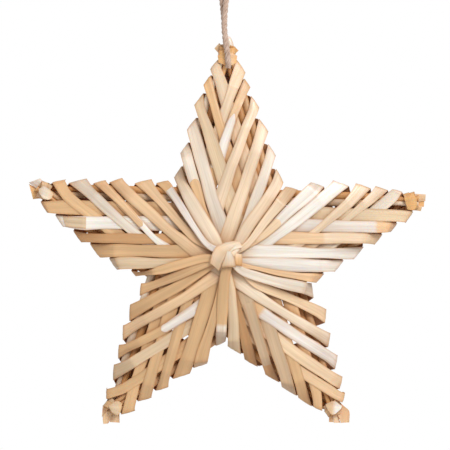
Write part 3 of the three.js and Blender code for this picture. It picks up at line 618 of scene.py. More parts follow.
def chosen_stations(dense, turn, ends):
    """Close stations at bends and shaped ends, wider ones on straight runs."""
    shaped = np.zeros(len(dense), bool)
    if ends[0] != "cut":
        shaped |= dense < END_SHAPED
    if ends[1] != "cut":
        shaped |= dense > dense[-1] - END_SHAPED
    chosen, since = [0], 0.0
    for i in range(1, len(dense) - 1):
        since += dense[i] - dense[i - 1]
        limit = CURVE_STEP if turn[i] > SLIGHT_TURN else RUN_STEP
        if turn[i] > SHARP_TURN or shaped[i]:
            limit = BEND_STEP
        if since >= limit - 1e-6:
            chosen.append(i)
            since = 0.0
    chosen.append(len(dense) - 1)
    return chosen


def narrowing(dense, ends, radius):
    """Share of the straw's width left at each station, towards round or pointed ends."""
    narrow = np.ones(len(dense))
    for shape, distance in ((ends[0], dense), (ends[1], dense[-1] - dense)):
        if shape == "round":
            near = np.clip(distance / radius, 0, 1)
            narrow = np.minimum(narrow, np.maximum(ROUND_LEAST, np.sqrt(1 - (1 - near) ** 2)))
        if shape == "point":
            narrow = np.minimum(narrow, np.clip(POINT_LEAST + distance / (POINT_LENGTH * radius), 0, 1))
    return narrow


def straw_tint(colours, dense, side, turn, crease, wave, edge_tint, fold_tint):
    """The straw's tone, with darker golden at its edges (partly their own colour, partly painted shade),
    painted shade at its folds and in its crease, and slightly uneven.
    """
    tint = np.repeat(colours[:, None, :], COLUMNS, axis=1)
    # A darker golden: at the edges partly the straw's own colour and partly painted shade, at folds painted
    # shade
    golden = linear("golden") * GOLDEN_SHADE
    edge = np.clip((np.abs(side) - EDGE_TINT_FROM) / EDGE_TINT_OVER, 0, 1)
    tint = mix(tint, golden[None, None, :], (edge * edge_tint)[..., None])
    # Painted shade where the straw turns over a fold
    folded = np.clip(turn * FOLD_SHADE_RATE, 0, 1)[:, None, None]
    tint = mix(tint, golden[None, None, :], folded * fold_tint)
    # Painted shade in the crease
    dark = CREASE_SHADE * crease[:, None] * np.exp(-(side / CREASE_SHADE_SPREAD) ** 2)
    tint = tint * (1 - dark)[..., None]
    lengthwise = 1 + 0.05 * np.sin(dense / 13 + wave[7]) + 0.035 * np.sin(dense / 5.3 + wave[3])
    crosswise = 1 + 0.06 * np.sin(side * 2.1 + wave[8]) + 0.04 * np.sin(side * 5.3 + wave[9])
    return np.clip(tint * (lengthwise[:, None] * crosswise)[..., None], 0, 1)


def ribbon(name, left, right, colours, rng, cup=0.16, ends=("cut", "cut"), crease=None,
           thickness=STRAW_THICKNESS, soften=0.55, edge_tint=0.52, fold_tint=0.5):
    """A flat straw through sections in millimetres: crowned, faintly ridged, with slightly uneven edges."""
    left, right, colours = (np.asarray(v, float) for v in (left, right, colours))
    crease = np.zeros(len(left)) if crease is None else np.asarray(crease, float)
    step = np.linalg.norm(np.diff((left + right) / 2, axis=0), axis=1)
    keep = np.concatenate([[True], step > 1e-4])
    at = np.concatenate([[0], np.cumsum(step)])[keep]
    left, right, colours, crease = left[keep], right[keep], colours[keep], crease[keep]
    # Even stations first, so that bends can be eased
    dense = np.append(np.arange(0, at[-1] - 0.05, EVEN_STEP), at[-1])
    left, right, colours = (
        np.stack([np.interp(dense, at, v[:, k]) for k in range(3)], axis=1) for v in (left, right, colours))
    crease = np.interp(dense, at, crease)
    from_end = np.minimum(dense, dense[-1] - dense)
    eased = np.minimum(1, from_end / END_EASED)[:, None]
    left = mix(left, blur(left, dense, soften), eased)
    right = mix(right, blur(right, dense, soften), eased)
    run = np.gradient((left + right) / 2, axis=0)
    run /= np.linalg.norm(run, axis=1, keepdims=True)
    turn = np.linalg.norm(np.gradient(run, axis=0), axis=1)
    turn = np.convolve(turn, np.ones(9) / 9, mode="same")
    chosen = chosen_stations(dense, turn, ends)
    left, right, dense, colours = left[chosen], right[chosen], dense[chosen], colours[chosen]
    run, turn, crease, from_end = run[chosen], turn[chosen], crease[chosen], from_end[chosen]
    across = right - left
    width = np.linalg.norm(across, axis=1)
    normal = np.cross(run, across)
    normal /= np.linalg.norm(normal, axis=1, keepdims=True)
    narrow = narrowing(dense, ends, width.mean() / 2)
    w = np.linspace(0, 1, COLUMNS)
    w = 0.5 - 0.5 * np.cos(np.pi * (COLUMN_EASE + COLUMN_SPAN * w)) / math.cos(np.pi * COLUMN_EASE)
    side = (w[None, :] * 2 - 1) * np.ones((len(dense), 1))
    wave = [rng.uniform(0, 6.3) for _ in range(10)]
    wobble_left = EDGE_WAVE * np.sin(dense / 7.3 + wave[0]) + EDGE_RIPPLE * np.sin(dense / 2.9 + wave[1])
    wobble_right = EDGE_WAVE * np.sin(dense / 6.1 + wave[2]) + EDGE_RIPPLE * np.sin(dense / 3.3 + wave[3])
    calm = np.minimum(1, from_end / END_SHAPED)[:, None]
    shift = calm * np.where(side < 0, wobble_left[:, None] * -side, wobble_right[:, None] * side)
    size = np.minimum(1, width / FULL_WIDTH)[:, None]
    ridge_place = 0.5 * math.sin(wave[4])
    swell = (1 + 0.5 * np.sin(dense / 11 + wave[5]))[:, None]
    ridge = RIDGE_HEIGHT * np.exp(-((side - ridge_place) / RIDGE_SPREAD) ** 2) * swell
    groove = GROOVE_DEPTH * np.exp(-((side + ridge_place * 0.8) / GROOVE_SPREAD) ** 2)
    ripple = RIPPLE_HEIGHT * np.sin(dense[:, None] / 4.1 + side * 2.2 + wave[6])
    seam = CREASE_DEPTH * crease[:, None] * np.exp(-(side / CREASE_SPREAD) ** 2)
    lift = size * (cup * (1 - side**2) - cup * CUP_SINK + (ridge - groove) * calm + ripple * calm) - seam
    unit_across = across / np.maximum(width, 1e-6)[:, None]
    middle = (left + right) / 2
    points = (
        middle[:, None, :]
        + across[:, None, :] * (side * narrow[:, None])[..., None] / 2
        + unit_across[:, None, :] * shift[..., None]
        - normal[:, None, :] * lift[..., None]
    )
    tint = straw_tint(colours, dense, side, turn, crease, wave, edge_tint, fold_tint)
    lengths = np.repeat((dense + wave[0] * UV_SHIFT[0])[:, None], COLUMNS, axis=1)
    widths = side * width[:, None] / 2 + wave[1] * UV_SHIFT[1]
    made = sheet_grid(name, points * MM, tint, lengths, widths)
    thicken(made, thickness)
    smooth(made, STRAW_SMOOTH_DEG)
    return made


def strip_mesh(name, lefts, rights, rises, colours, rng, **shape):
    return ribbon(name, in_row(lefts, rises) / MM, in_row(rights, rises) / MM, colours, rng, **shape)


def join(pieces, name):
    bpy.ops.object.select_all(action="DESELECT")
    for piece in pieces:
        piece.select_set(True)
    bpy.context.view_layer.objects.active = pieces[0]
    bpy.ops.object.join()
    return fresh(name)


def tube(name, centres, u, v, a, b, colours, around):
    """A round or flattened tube along centres, with radii a along u and b along v, in millimetres."""
    centres, u, v = (np.asarray(x, float) for x in (centres, u, v))
    stations = len(centres)
    angle = np.linspace(0, 2 * np.pi, around + 1)
    a, b = np.broadcast_to(a, stations), np.broadcast_to(b, stations)
    points = (
        centres[:, None, :]
        + u[:, None, :] * (a[:, None] * np.cos(angle)[None, :])[..., None]
        + v[:, None, :] * (b[:, None] * np.sin(angle)[None, :])[..., None]
    )
    lengths = np.repeat(travel(centres)[:, None], around + 1, axis=1)
    girth = np.linspace(0, 1, around + 1)[None, :] * 2 * np.pi * np.maximum(a, b)[:, None]
    tint = np.repeat(np.asarray(colours, float)[:, None, :], around + 1, axis=1)
    made = sheet_grid(name, points * MM, tint, lengths, girth)
    edit_all(made)
    bpy.ops.mesh.remove_doubles(threshold=SEAM_REACH)
    object_mode()
    edit_all(made)
    bpy.ops.mesh.select_all(action="DESELECT")
    bpy.ops.mesh.select_mode(type="EDGE")
    bpy.ops.mesh.select_non_manifold()
    bpy.ops.mesh.fill_holes(sides=0)
    bpy.ops.mesh.select_all(action="SELECT")
    bpy.ops.mesh.normals_make_consistent(inside=False)
    bpy.ops.mesh.select_mode(type="VERT")
    object_mode()
    smooth(made, TUBE_SMOOTH_DEG)
    return made


# Materials
def node_maker(owner):
    """Clears an owner's node tree, and gives short ways to add nodes with values and to link them."""
    owner.use_nodes = True
    tree = owner.node_tree
    tree.nodes.clear()

    def add(kind, sockets=None, **settings):
        node = tree.nodes.new("ShaderNode" + kind)
        for name, value in settings.items():
            setattr(node, name, value)
        for socket, value in (sockets or {}).items():
            node.inputs[socket].default_value = value
        return node

    def link(a, output, b, inlet):
        tree.links.new(a.outputs[output], b.inputs[inlet])

    return add, link


def uv_noise(add, link, scale, detail):
    """Noise on the straw's own UV, stretched by scale."""
    space = add("Mapping", {"Scale": scale})
    link(add("UVMap", uv_map="UVMap"), "UV", space, "Vector")
    noise = add("TexNoise", {"Scale": 1.0, "Detail": detail})
    link(space, "Vector", noise, "Vector")
    return noise


def bumped(add, link, noise, shader, strength, height):
    bump = add("Bump", {"Strength": strength, "Distance": height})
    link(noise, "Fac", bump, "Height")
    link(bump, "Normal", shader, "Normal")


STREAK_COLOUR = (0.56, 0.36, 0.17, 1)
SPECK_COLOUR = (0.22, 0.10, 0.04, 1)
FIBRE_COLOUR = (0.36, 0.20, 0.09, 1)
TWINE_DARK, TWINE_LIGHT = (0.33, 0.20, 0.13, 1), (0.72, 0.55, 0.45, 1)


def straw_material(name, roughness, fibre):
    """Satin straw: lengthwise fibres, faint streaks, a few brown specks, in the strip's tone, which holds its
    painted shade.
    """
    material = bpy.data.materials.new(name)
    add, link = node_maker(material)

    def ramp(source, output, lowest, highest, bottom=0.0, top=1.0):
        made = add("MapRange", {"From Min": lowest, "From Max": highest, "To Min": bottom, "To Max": top})
        link(source, output, made, "Value")
        return made

    def mixed(under, output, share, share_output, colour):
        made = add("Mix", {7: colour}, data_type="RGBA")
        link(share, share_output, made, 0)
        link(under, output, made, 6)
        return made

    shader = add("BsdfPrincipled", {
        "Specular IOR Level": 0.55, "Subsurface Weight": 0.25,
        "Subsurface Radius": (1.0, 0.45, 0.2), "Subsurface Scale": 0.0006})
    link(shader, "BSDF", add("OutputMaterial"), "Surface")
    fine = uv_noise(add, link, (0.5, 17, 1), 4.0)
    broad = uv_noise(add, link, (0.22, 6, 1), 3.0)
    speck_space = add("Mapping", {"Scale": (5, 9, 1)})
    link(add("UVMap", uv_map="UVMap"), "UV", speck_space, "Vector")
    speck = add("TexVoronoi", {"Scale": 1.0})
    link(speck_space, "Vector", speck, "Vector")
    patches = add("TexNoise", {"Scale": 0.9})
    link(speck_space, "Vector", patches, "Vector")
    tone = add("Attribute", attribute_name="tone")
    fibres = mixed(tone, "Color", ramp(fine, "Fac", 0.45, 0.7, top=0.42 * fibre), "Result", FIBRE_COLOUR)
    streaks = mixed(fibres, 2, ramp(broad, "Fac", 0.42, 0.75, top=0.55 * fibre), "Result", STREAK_COLOUR)
    specks = add("Math", operation="MULTIPLY")
    link(ramp(speck, "Distance", 0.10, 0.04), "Result", specks, 0)
    link(ramp(patches, "Fac", 0.62, 0.70), "Result", specks, 1)
    spotted = mixed(streaks, 2, specks, "Value", SPECK_COLOUR)
    link(spotted, 2, shader, "Base Color")
    link(ramp(fine, "Fac", 0.3, 0.7, roughness - 0.08, roughness + 0.14), "Result", shader, "Roughness")
    bumped(add, link, fine, shader, 0.35, 0.00012)
    return material


def twine_material():
    """Soft taupe twine: fine fibres along each ply, rough and a little furry."""
    material = bpy.data.materials.new("twine_fibre")
    add, link = node_maker(material)
    shader = add("BsdfPrincipled", {"Roughness": 0.9, "Sheen Weight": 0.35, "Specular IOR Level": 0.2})
    link(shader, "BSDF", add("OutputMaterial"), "Surface")
    fine = uv_noise(add, link, (3.0, 24, 1), 5.0)
    ramp = add("ValToRGB")
    for stop, position, colour in zip(ramp.color_ramp.elements, (0.3, 0.7), (TWINE_DARK, TWINE_LIGHT)):
        stop.position = position
        stop.color = colour
    link(fine, "Fac", ramp, "Fac")
    link(ramp, "Color", shader, "Base Color")
    bumped(add, link, fine, shader, 0.6, 0.00015)
    return material


STRAW = straw_material("wound_straw", roughness=0.37, fibre=0.5)
STALK = straw_material("frame_stalk", roughness=0.46, fibre=0.5)
BAND = straw_material("binding_straw", roughness=0.30, fibre=0.6)
TWINE = twine_material()

# Camera, square on to the star
DISTANCE = 1.4
FRAME_SIZE = 0.225
SENSOR_WIDTH = 36
PICTURE_CENTRE = (0.00045, -0.135)
camera_data = bpy.data.cameras.new("camera")
camera = bpy.data.objects.new("camera", camera_data)
bpy.context.scene.collection.objects.link(camera)
camera_data.sensor_width = SENSOR_WIDTH
camera_data.lens = SENSOR_WIDTH * DISTANCE / FRAME_SIZE
camera_data.clip_end = 20
camera.location = (PICTURE_CENTRE[0], -DISTANCE, PICTURE_CENTRE[1])
camera.rotation_euler = (math.radians(90), 0, 0)
bpy.context.scene.camera = camera

# Hanging twine: the route's points are across, up and rise, as the solid's
BINDING_FACE = BUNDLE_THICKNESS + GAP / 2 + GAP + BINDING_THICKNESS
TWINE_RISE = BINDING_FACE + GAP + TWINE_DIAMETER / 2
TIP_TOP = TIPS[0][1]
LOOP_TOP = FRAME_DROP + TWINE_DIAMETER / 2
LOOP_CENTRE = LOOP_TOP - LOOP_BEND
ROUTE = [
    (0.9, TIP_TOP - 7.4, BINDING_FACE), (0.85, TIP_TOP - 5.6, TWINE_RISE - 0.45),
    (0.6, TIP_TOP - 3, TWINE_RISE), (0.2, TIP_TOP + 1, TWINE_RISE + 0.1),
    (-0.3, TIP_TOP + 5, TWINE_RISE - 0.5), (-0.8, TIP_TOP + 10, 5),
    (-0.9, TIP_TOP + 16, 3), (-0.6, TIP_TOP + 22, 1.7), (0.1, TIP_TOP + 28, 1.15), (1.6, TIP_TOP + 34, 0.7),
    (3.4, LOOP_CENTRE - 3.2, 0.35), (LOOP_BEND - FRAME_SHIFT, LOOP_CENTRE, 0.15),
    (LOOP_BEND * 0.7 - FRAME_SHIFT, LOOP_CENTRE + LOOP_BEND * 0.7, 0.05), (-FRAME_SHIFT, LOOP_TOP, 0),
    (-LOOP_BEND * 0.7 - FRAME_SHIFT, LOOP_CENTRE + LOOP_BEND * 0.7, -0.05),
    (-LOOP_BEND - FRAME_SHIFT, LOOP_CENTRE, -0.15), (-5.8, LOOP_CENTRE - 3.2, -0.35),
    (-4, TIP_TOP + 34, -0.7), (-2.5, TIP_TOP + 28, -1.15), (-1.8, TIP_TOP + 22, -1.7),
    (-1.3, TIP_TOP + 16, -3.2), (-0.9, TIP_TOP + 10, -5.4), (-0.5, TIP_TOP + 6.5, -7),
    (-0.2, TIP_TOP + TIP_KNOT_HEIGHT / 2 + GAP, -TWINE_RISE - 0.6),
]

SPLINE_STEPS = 24


def smooth_path(points, spacing):
    """A centripetal spline through the points, sampled evenly."""
    points = np.asarray(points, float)
    points = np.vstack([2 * points[0] - points[1], points, 2 * points[-1] - points[-2]])
    fine = []
    for i in range(1, len(points) - 2):
        p = points[i - 1 : i + 3]
        t = np.concatenate([[0], np.cumsum(np.linalg.norm(np.diff(p, axis=0), axis=1) ** 0.5)])
        for s in np.linspace(t[1], t[2], SPLINE_STEPS, endpoint=False):
            a1 = p[0] + (p[1] - p[0]) * (s - t[0]) / (t[1] - t[0])
            a2 = p[1] + (p[2] - p[1]) * (s - t[1]) / (t[2] - t[1])
            a3 = p[2] + (p[3] - p[2]) * (s - t[2]) / (t[3] - t[2])
            b1 = a1 + (a2 - a1) * (s - t[0]) / (t[2] - t[0])
            b2 = a2 + (a3 - a2) * (s - t[1]) / (t[3] - t[1])
            fine.append(b1 + (b2 - b1) * (s - t[1]) / (t[2] - t[1]))
    fine.append(points[-2])
    fine = np.array(fine)
    at = travel(fine)
    even = np.linspace(0, at[-1], max(2, round(at[-1] / spacing)) + 1)
    return np.stack([np.interp(even, at, fine[:, k]) for k in range(3)], axis=1), at[-1]


def frames_along(line):
    """Two directions square to a line at each point, turning with it as little as they can."""
    run = np.gradient(line, axis=0)
    run /= np.linalg.norm(run, axis=1, keepdims=True)
    u = np.zeros_like(line)
    first = np.cross(run[0], [0.31, 0.87, 0.38])
    for i in range(len(line)):
        first = first - run[i] * np.dot(first, run[i])
        first /= np.linalg.norm(first)
        u[i] = first
    return run, u, np.cross(run, u)


PLIES = 3
PLY_RADIUS = 0.76
PLY_OFFSET = 0.70
PLY_PITCH = 7.5
HAIR_RADIUS = 0.045
HAIR_STATIONS = 5
HAIR_ROOT = 0.42


def twisted(name, line, rng, pitch=PLY_PITCH, scale=1.0):
    """Three soft plies twisted round a line."""
    _, u, v = frames_along(line)
    at = travel(line)
    plies = []
    for k in range(PLIES):
        angle = 2 * np.pi * (at / pitch + k / PLIES) + 0.25 * np.sin(at / 9 + k)
        out = u * np.cos(angle)[:, None] + v * np.sin(angle)[:, None]
        centre = line + out * PLY_OFFSET * scale
        _, pu, pv = frames_along(centre)
        radius = PLY_RADIUS * scale * (1 + 0.08 * np.sin(at / 1.7 + 2.1 * k) + 0.05 * np.sin(at / 0.6 + k))
        streak = 1 + 0.08 * np.sin(at / 3.1 + 1.7 * k)
        tint = np.ones((len(line), 3)) * streak[:, None] * rng.uniform(0.92, 1.05)
        plies.append(tube(f"{name}_ply_{k}", centre, pu, pv, radius, radius, tint, around=8))
    return join(plies, name)


def fuzz(name, line, rng, count, reach):
    """Loose fibres standing off the twine: thin curved hairs."""
    run, u, v = frames_along(line)
    hairs = []
    for k in range(count):
        i = rng.randrange(2, len(line) - 2)
        angle = rng.uniform(0, 2 * math.pi)
        out = u[i] * math.cos(angle) + v[i] * math.sin(angle)
        sideways = np.cross(run[i], out)
        lean = run[i] * rng.uniform(-1, 1) + sideways * rng.uniform(-0.8, 0.8)
        length = rng.uniform(0.4, 1.0) * reach
        s = np.linspace(0, 1, HAIR_STATIONS)[:, None]
        root = line[i] + out * TWINE_DIAMETER * HAIR_ROOT
        hair = root + (out * 0.55 * s + lean * s * s) * length
        _, hu, hv = frames_along(hair)
        thin = HAIR_RADIUS * (1 - 0.6 * s[:, 0])
        hairs.append(tube(f"hair_{k}", hair, hu, hv, thin, thin, np.ones((HAIR_STATIONS, 3)), around=3))
    return join(hairs, name)


ROUTE_STEP = 0.45
route_points = np.array(ROUTE, float)
route, route_length = smooth_path(in_row(route_points[:, :2], route_points[:, 2]) / MM, ROUTE_STEP)
twine_rng = random.Random(SEEDS["twine"])
twine = twisted("twine_loop", route, twine_rng)
dress(twine, TWINE, ["hanging_twine"])
hairs = fuzz("twine_hairs", route, twine_rng, 150, 1.5)
dress(hairs, TWINE)

# Overhand knot behind the top binding, with its size across, in depth and up
KNOT_SIZE = (0.66, 1.3, 0.58)
knot_t = np.linspace(0.35, 2 * np.pi - 0.1, 90)
knot_line = np.stack([
    -0.2 + FRAME_SHIFT + KNOT_SIZE[0] * (np.sin(knot_t) + 2 * np.sin(2 * knot_t)),
    BINDING_FACE + GAP + TIP_KNOT_DEPTH / 2 - KNOT_SIZE[1] * np.sin(3 * knot_t),
    TIP_TOP - FRAME_DROP + KNOT_SIZE[2] * (np.cos(knot_t) - 2 * np.cos(2 * knot_t)),
], axis=1)
twine_knot = twisted("twine_end_knot", knot_line, twine_rng, pitch=6, scale=0.86)
dress(twine_knot, TWINE, ["twine_knot"])
knot_hairs = fuzz("twine_knot_hairs", knot_line, twine_rng, 30, 1.2)
dress(knot_hairs, TWINE)

# Wind the thirty strips: two places on at each step, and one turn further in after every five
ORDER = [(arm, turn) for turn in range(TURNS) for arm in (0, 2, 4, 1, 3)]


def start_fold(step):
    return fold_at((step[0] + 3) % 5, "right", step[1])


def end_fold(step):
    return fold_at(step[0], "left", step[1])


def waist_of(step):
    """Where a strip of the last turns is drawn in beside the centre, and the direction across it."""
    start, end = start_fold(step)["point"], end_fold(step)["point"]
    along = toward(start, end)
    across = square_to(along)
    reach = cross2(along, WAIST_POINT - start)
    side = -1 if reach > 0 else 1
    return WAIST_POINT + across * side * WAIST_OFFSET, across


def oriented(section, run):
    """A section with its left point first, seen along the run."""
    a, b = section
    return (a, b) if cross2(run, a - b) > 0 else (b, a)


def fold_section(fold, run, first, last):
    """The part of a fold's line between two distances from its middle."""
    return oriented((fold["point"] + fold["line"] * last, fold["point"] + fold["line"] * first), run)


def kept_section(fold, run):
    return fold_section(fold, run, *fold["kept"])


def run_sections(near, far, edges):
    """Sections of a straw at its measured distances in from a fold."""
    along = toward(near, far)
    across = square_to(along)
    return [(near + along * at + across * a, near + along * at + across * b) for at, a, b in edges]


def between(a, b, share):
    return mix(a[0], b[0], share), mix(a[1], b[1], share)


# Where a straw changes tone on the face, by (turn, arm): millimetres from its first fold, or, where
# negative, back from its second, and the tone from there on
TONE_CHANGES = {
    (0, 2): [(0, "sand"), (60, "olive")],
    (1, 1): [(0, "peach_tan"), (8.5, "lilac"), (60, "silver")],
    (1, 2): [(0, "light_tan"), (21, "lilac"), (45, "olive")],
    (2, 1): [(0, "sand"), (27, "light_tan"), (60, "brown_tan")],
    (2, 3): [(0, "peach_tan"), (26, "silver"), (50, "tan"), (-45, "lilac")],
    (2, 4): [(0, "olive"), (29, "lilac"), (50, "sand")],
    # The middle tone of this strip is pale olive with painted shade
    (3, 0): [(0, "brown_tan"), (9, "shaded_pale_olive"), (60, "pale")],
    (4, 0): [(0, "dark_tan"), (48, "tan"), (-21, "pale")],
    (4, 4): [(0, "olive"), (48, "peach"), (-31, "silver")],
    (5, 2): [(0, "sand"), (48, "olive"), (-10, "pale")],
    (5, 3): [(0, "tan"), (5, "lilac"), (50, "pale")],
}
# Where the end of one straw lies on the next, by (turn, arm): from, to, tone and the shapes of the ends
OVERLAYS = {
    (1, 1): (-14, -2.5, "pale_olive", ("cut", "cut")),
    (1, 2): (17, 46, "lilac", ("point", "cut")),
    (2, 3): (3, 31, "peach_tan", ("cut", "round")),
    (2, 4): (24, 44, "lilac", ("round", "cut")),
    # This overlay's tone is pale olive with painted shade
    (3, 0): (7, 40, "shaded_pale_olive", ("cut", "cut")),
    (4, 0): (-36, -16.5, "tan", ("cut", "round")),
    (4, 4): (-42, -26, "peach", ("cut", "round")),
    (5, 3): (5, 40, "lilac", ("cut", "cut")),
}

OVERLAY_SPARE = 0.08
OVERLAY_INSET = 0.06


def overlay(name, front, span, tone, ends, rng):
    """A second straw lying on part of a laid one."""
    lefts, rights, rises = front
    at = plan_travel((lefts + rights) / 2)
    begins, stops = (value if value >= 0 else at[-1] + value for value in span)
    kept = (at >= begins) & (at <= stops)
    lift = STRAW_THICKNESS + STRAW_CLEARANCE + OVERLAY_SPARE
    near = np.minimum(1, np.minimum(at[kept] - at[kept][0], at[kept][-1] - at[kept]) / 2)
    spare = (lefts[kept] - rights[kept]) * OVERLAY_INSET
    part = (lefts[kept] - spare, rights[kept] + spare, rises[kept] + lift * (0.55 + 0.45 * near))
    stamp_band("front", *part)
    colours = np.tile(linear(tone), (int(kept.sum()), 1))
    return strip_mesh(name, *part, colours, rng, ends=ends)


# Strips left rolled narrow behind an arm, by (turn, arm), so that light shows between them
NARROW_BACKS = {(3, 3): 6.2, (4, 3): 5.0, (5, 3): 5.0}
HIDDEN_AT = (0.38, 0.62)
NECK_SPARE = 0.06
LAST_BACK_RISE = BUNDLE_RISE + BUNDLE_THICKNESS / 2 + 0.8
BACK_STOP = (STRAW_THICKNESS / 2 + GAP) / 0.6
BLEND_FROM, BLEND_OVER = 0.38, 0.24
TONE_EASE = 0.8
BACK_SHADE_SHARE = 0.6
CREASE_FROM, CREASE_OVER = 7, 2


def pressed(c, d, share, width):
    """A section between two others, brought to a width."""
    left, right = between(c, d, share)
    centre, across = (left + right) / 2, toward(right, left)
    return centre + across * width / 2, centre - across * width / 2


def along_front(front, tone_start, tone_end, changes):
    """Tones along a strip's front: from one end's to the other's, and the stated changes on top."""
    at = plan_travel((front[0] + front[1]) / 2)
    share = np.linspace(0, 1, len(at))
    tones = mix(tone_start, tone_end, np.clip((share - BLEND_FROM) / BLEND_OVER, 0, 1)[:, None])
    for begins, tone in changes:
        begun = at - (begins if begins >= 0 else at[-1] + begins)
        tones = mix(tones, linear(tone), np.clip(begun / TONE_EASE, 0, 1)[:, None])
    return tones


def wind():
    """Lays every strip over what is laid before it: its front run, then its run behind the arm."""
    carried = None
    for index, step in enumerate(ORDER):
        arm, turn = step
        rng = random.Random(SEEDS["strips"] + index)
        start, end = start_fold(step), end_fold(step)
        following = ORDER[index + 1] if index + 1 < len(ORDER) else None
        target = start_fold(following) if following else start_fold((0, TURNS - 1))
        bent = turn >= TURNS_TO_WAIST
        waist, waist_across = waist_of(step)
        front_from = waist if bent else end["point"]
        front_to = waist if bent else start["point"]
        before = end_fold(ORDER[index - 1])["point"] if index else fold_at(3, "left", 0)["point"]
        run_out, run_in = toward(start["point"], front_from), toward(front_to, end["point"])
        back_run = toward(end["point"], target["point"])
        farther = WAIST_POINT
        if following:
            to_waist = following[1] >= TURNS_TO_WAIST
            farther = waist_of(following)[0] if to_waist else end_fold(following)["point"]
        # Front run, from the fold that the last strip ended on to the far arm's fold
        start_kept = carried or settle(start, *fold_ends(start, before, front_from, run_out))
        end_kept = settle(end, *fold_ends(end, front_to, target["point"], run_in))
        far_start = WAIST_POINT if bent else end["point"]
        far_end = WAIST_POINT if bent else start["point"]
        keys = [kept_section(start_kept, run_out)]
        begun = run_sections(start["point"], far_start, RUNS_RIGHT[(arm + 3) % 5][turn])
        keys += [oriented(section, run_out) for section in begun]
        if bent:
            keys.append(oriented(
                (waist + waist_across * WAIST_WIDTH / 2, waist - waist_across * WAIST_WIDTH / 2),
                toward(start["point"], end["point"])))
        closing = run_sections(end["point"], far_end, RUNS_LEFT[arm][turn])
        closing = [oriented(section, run_in) for section in closing[::-1]]
        if not bent:
            one, two = sum(keys[-1]) / 2, sum(closing[0]) / 2
            square = square_to(toward(one, two)) * HIDDEN_WIDTH / 2
            keys += [(mix(one, two, at) + square, mix(one, two, at) - square) for at in HIDDEN_AT]
        keys += closing
        keys.append(kept_section(end_kept, run_in))
        front = lay("front", keys, start["rise"] + FOLD_RISE, end["rise"] + FOLD_RISE)
        # Back run, behind the arm to the fold that the next strip starts on
        c = fold_section(end_kept, back_run, -end_kept["half"], end_kept["half"])
        target_kept = settle(target, *fold_ends(target, end["point"], farther, back_run))
        d = kept_section(target_kept, back_run)
        reach_back = dist(end_kept["point"], target_kept["point"])
        stop = BACK_STOP if following else target["outside"]
        neck = FOLD_NECK / reach_back
        spreads = max(BACK_SPREADS_AT, neck + NECK_SPARE)
        back_width = NARROW_BACKS.get((turn, arm), BACK_WIDTH)
        back_keys = [kept_section(end_kept, back_run), between(c, d, neck),
                     pressed(c, d, spreads, back_width), pressed(c, d, 1 - spreads, back_width),
                     between(c, d, 1 - stop / reach_back)]
        back_end = -(target["rise"] - FOLD_RISE) if following else LAST_BACK_RISE
        back = lay("back", back_keys, -(end["rise"] - FOLD_RISE), back_end)
        carried = target_kept if following else None
        swap = dist(back[0][0], front[0][-1]) > dist(back[0][0], front[1][-1])
        behind = (back[1], back[0], back[2]) if swap else back
        stamp_band("front", *front)
        stamp_band("back", *behind)
        # Both runs as one straw
        lefts = np.concatenate([front[0][:1], front[0], behind[0]])
        rights = np.concatenate([front[1][:1], front[1], behind[1]])
        rises = np.concatenate([[start["rise"] - FOLD_RISE], front[2], behind[2]])
        tone_end = linear(TONES_LEFT[arm][turn])
        front_tones = along_front(front, linear(TONES_RIGHT[(arm + 3) % 5][turn]), tone_end,
                                  TONE_CHANGES.get((turn, arm), []))
        # Behind the arm the strip's tone is mixed with a darker tan: painted shade, as the back is seen in
        # shadow through the gaps
        shaded_back_tone = mix(tone_end, linear("shaded_back_tan"), BACK_SHADE_SHARE)
        shaded_back_tones = np.tile(shaded_back_tone, (len(behind[2]), 1))
        colours = np.concatenate([front_tones[:1], front_tones, shaded_back_tones])
        wide = np.hypot(*(behind[0] - behind[1]).T)
        creased = np.clip((wide - CREASE_FROM) / CREASE_OVER, 0, 1)
        crease = np.concatenate([np.zeros(len(front[2]) + 1), creased])
        place = f"{turn + 1}_{TIP_NAMES[arm]}"
        made = strip_mesh(f"straw_strip_{place}", lefts, rights, rises, colours, rng, crease=crease)
        node = f"straw_turn_{turn + 1}_to_{TIP_NAMES[arm]}"
        dress(made, STRAW, [node])
        if (turn, arm) in OVERLAYS:
            begins, stops, tone, ends = OVERLAYS[(turn, arm)]
            laid = overlay(f"straw_over_{place}", front, (begins, stops), tone, ends, rng)
            dress(laid, STRAW)


wind()


def placed_strip(name, sections, tones, rng, **shape):
    """A strip through sections of (left plan point, right plan point, rise), with a tone for each."""
    lefts, rights = (np.array([s[k] for s in sections], float) for k in (0, 1))
    rises = np.array([s[2] for s in sections], float)
    colours = np.array([linear(t) for t in tones])
    return strip_mesh(name, lefts, rights, rises, colours, rng, **shape)


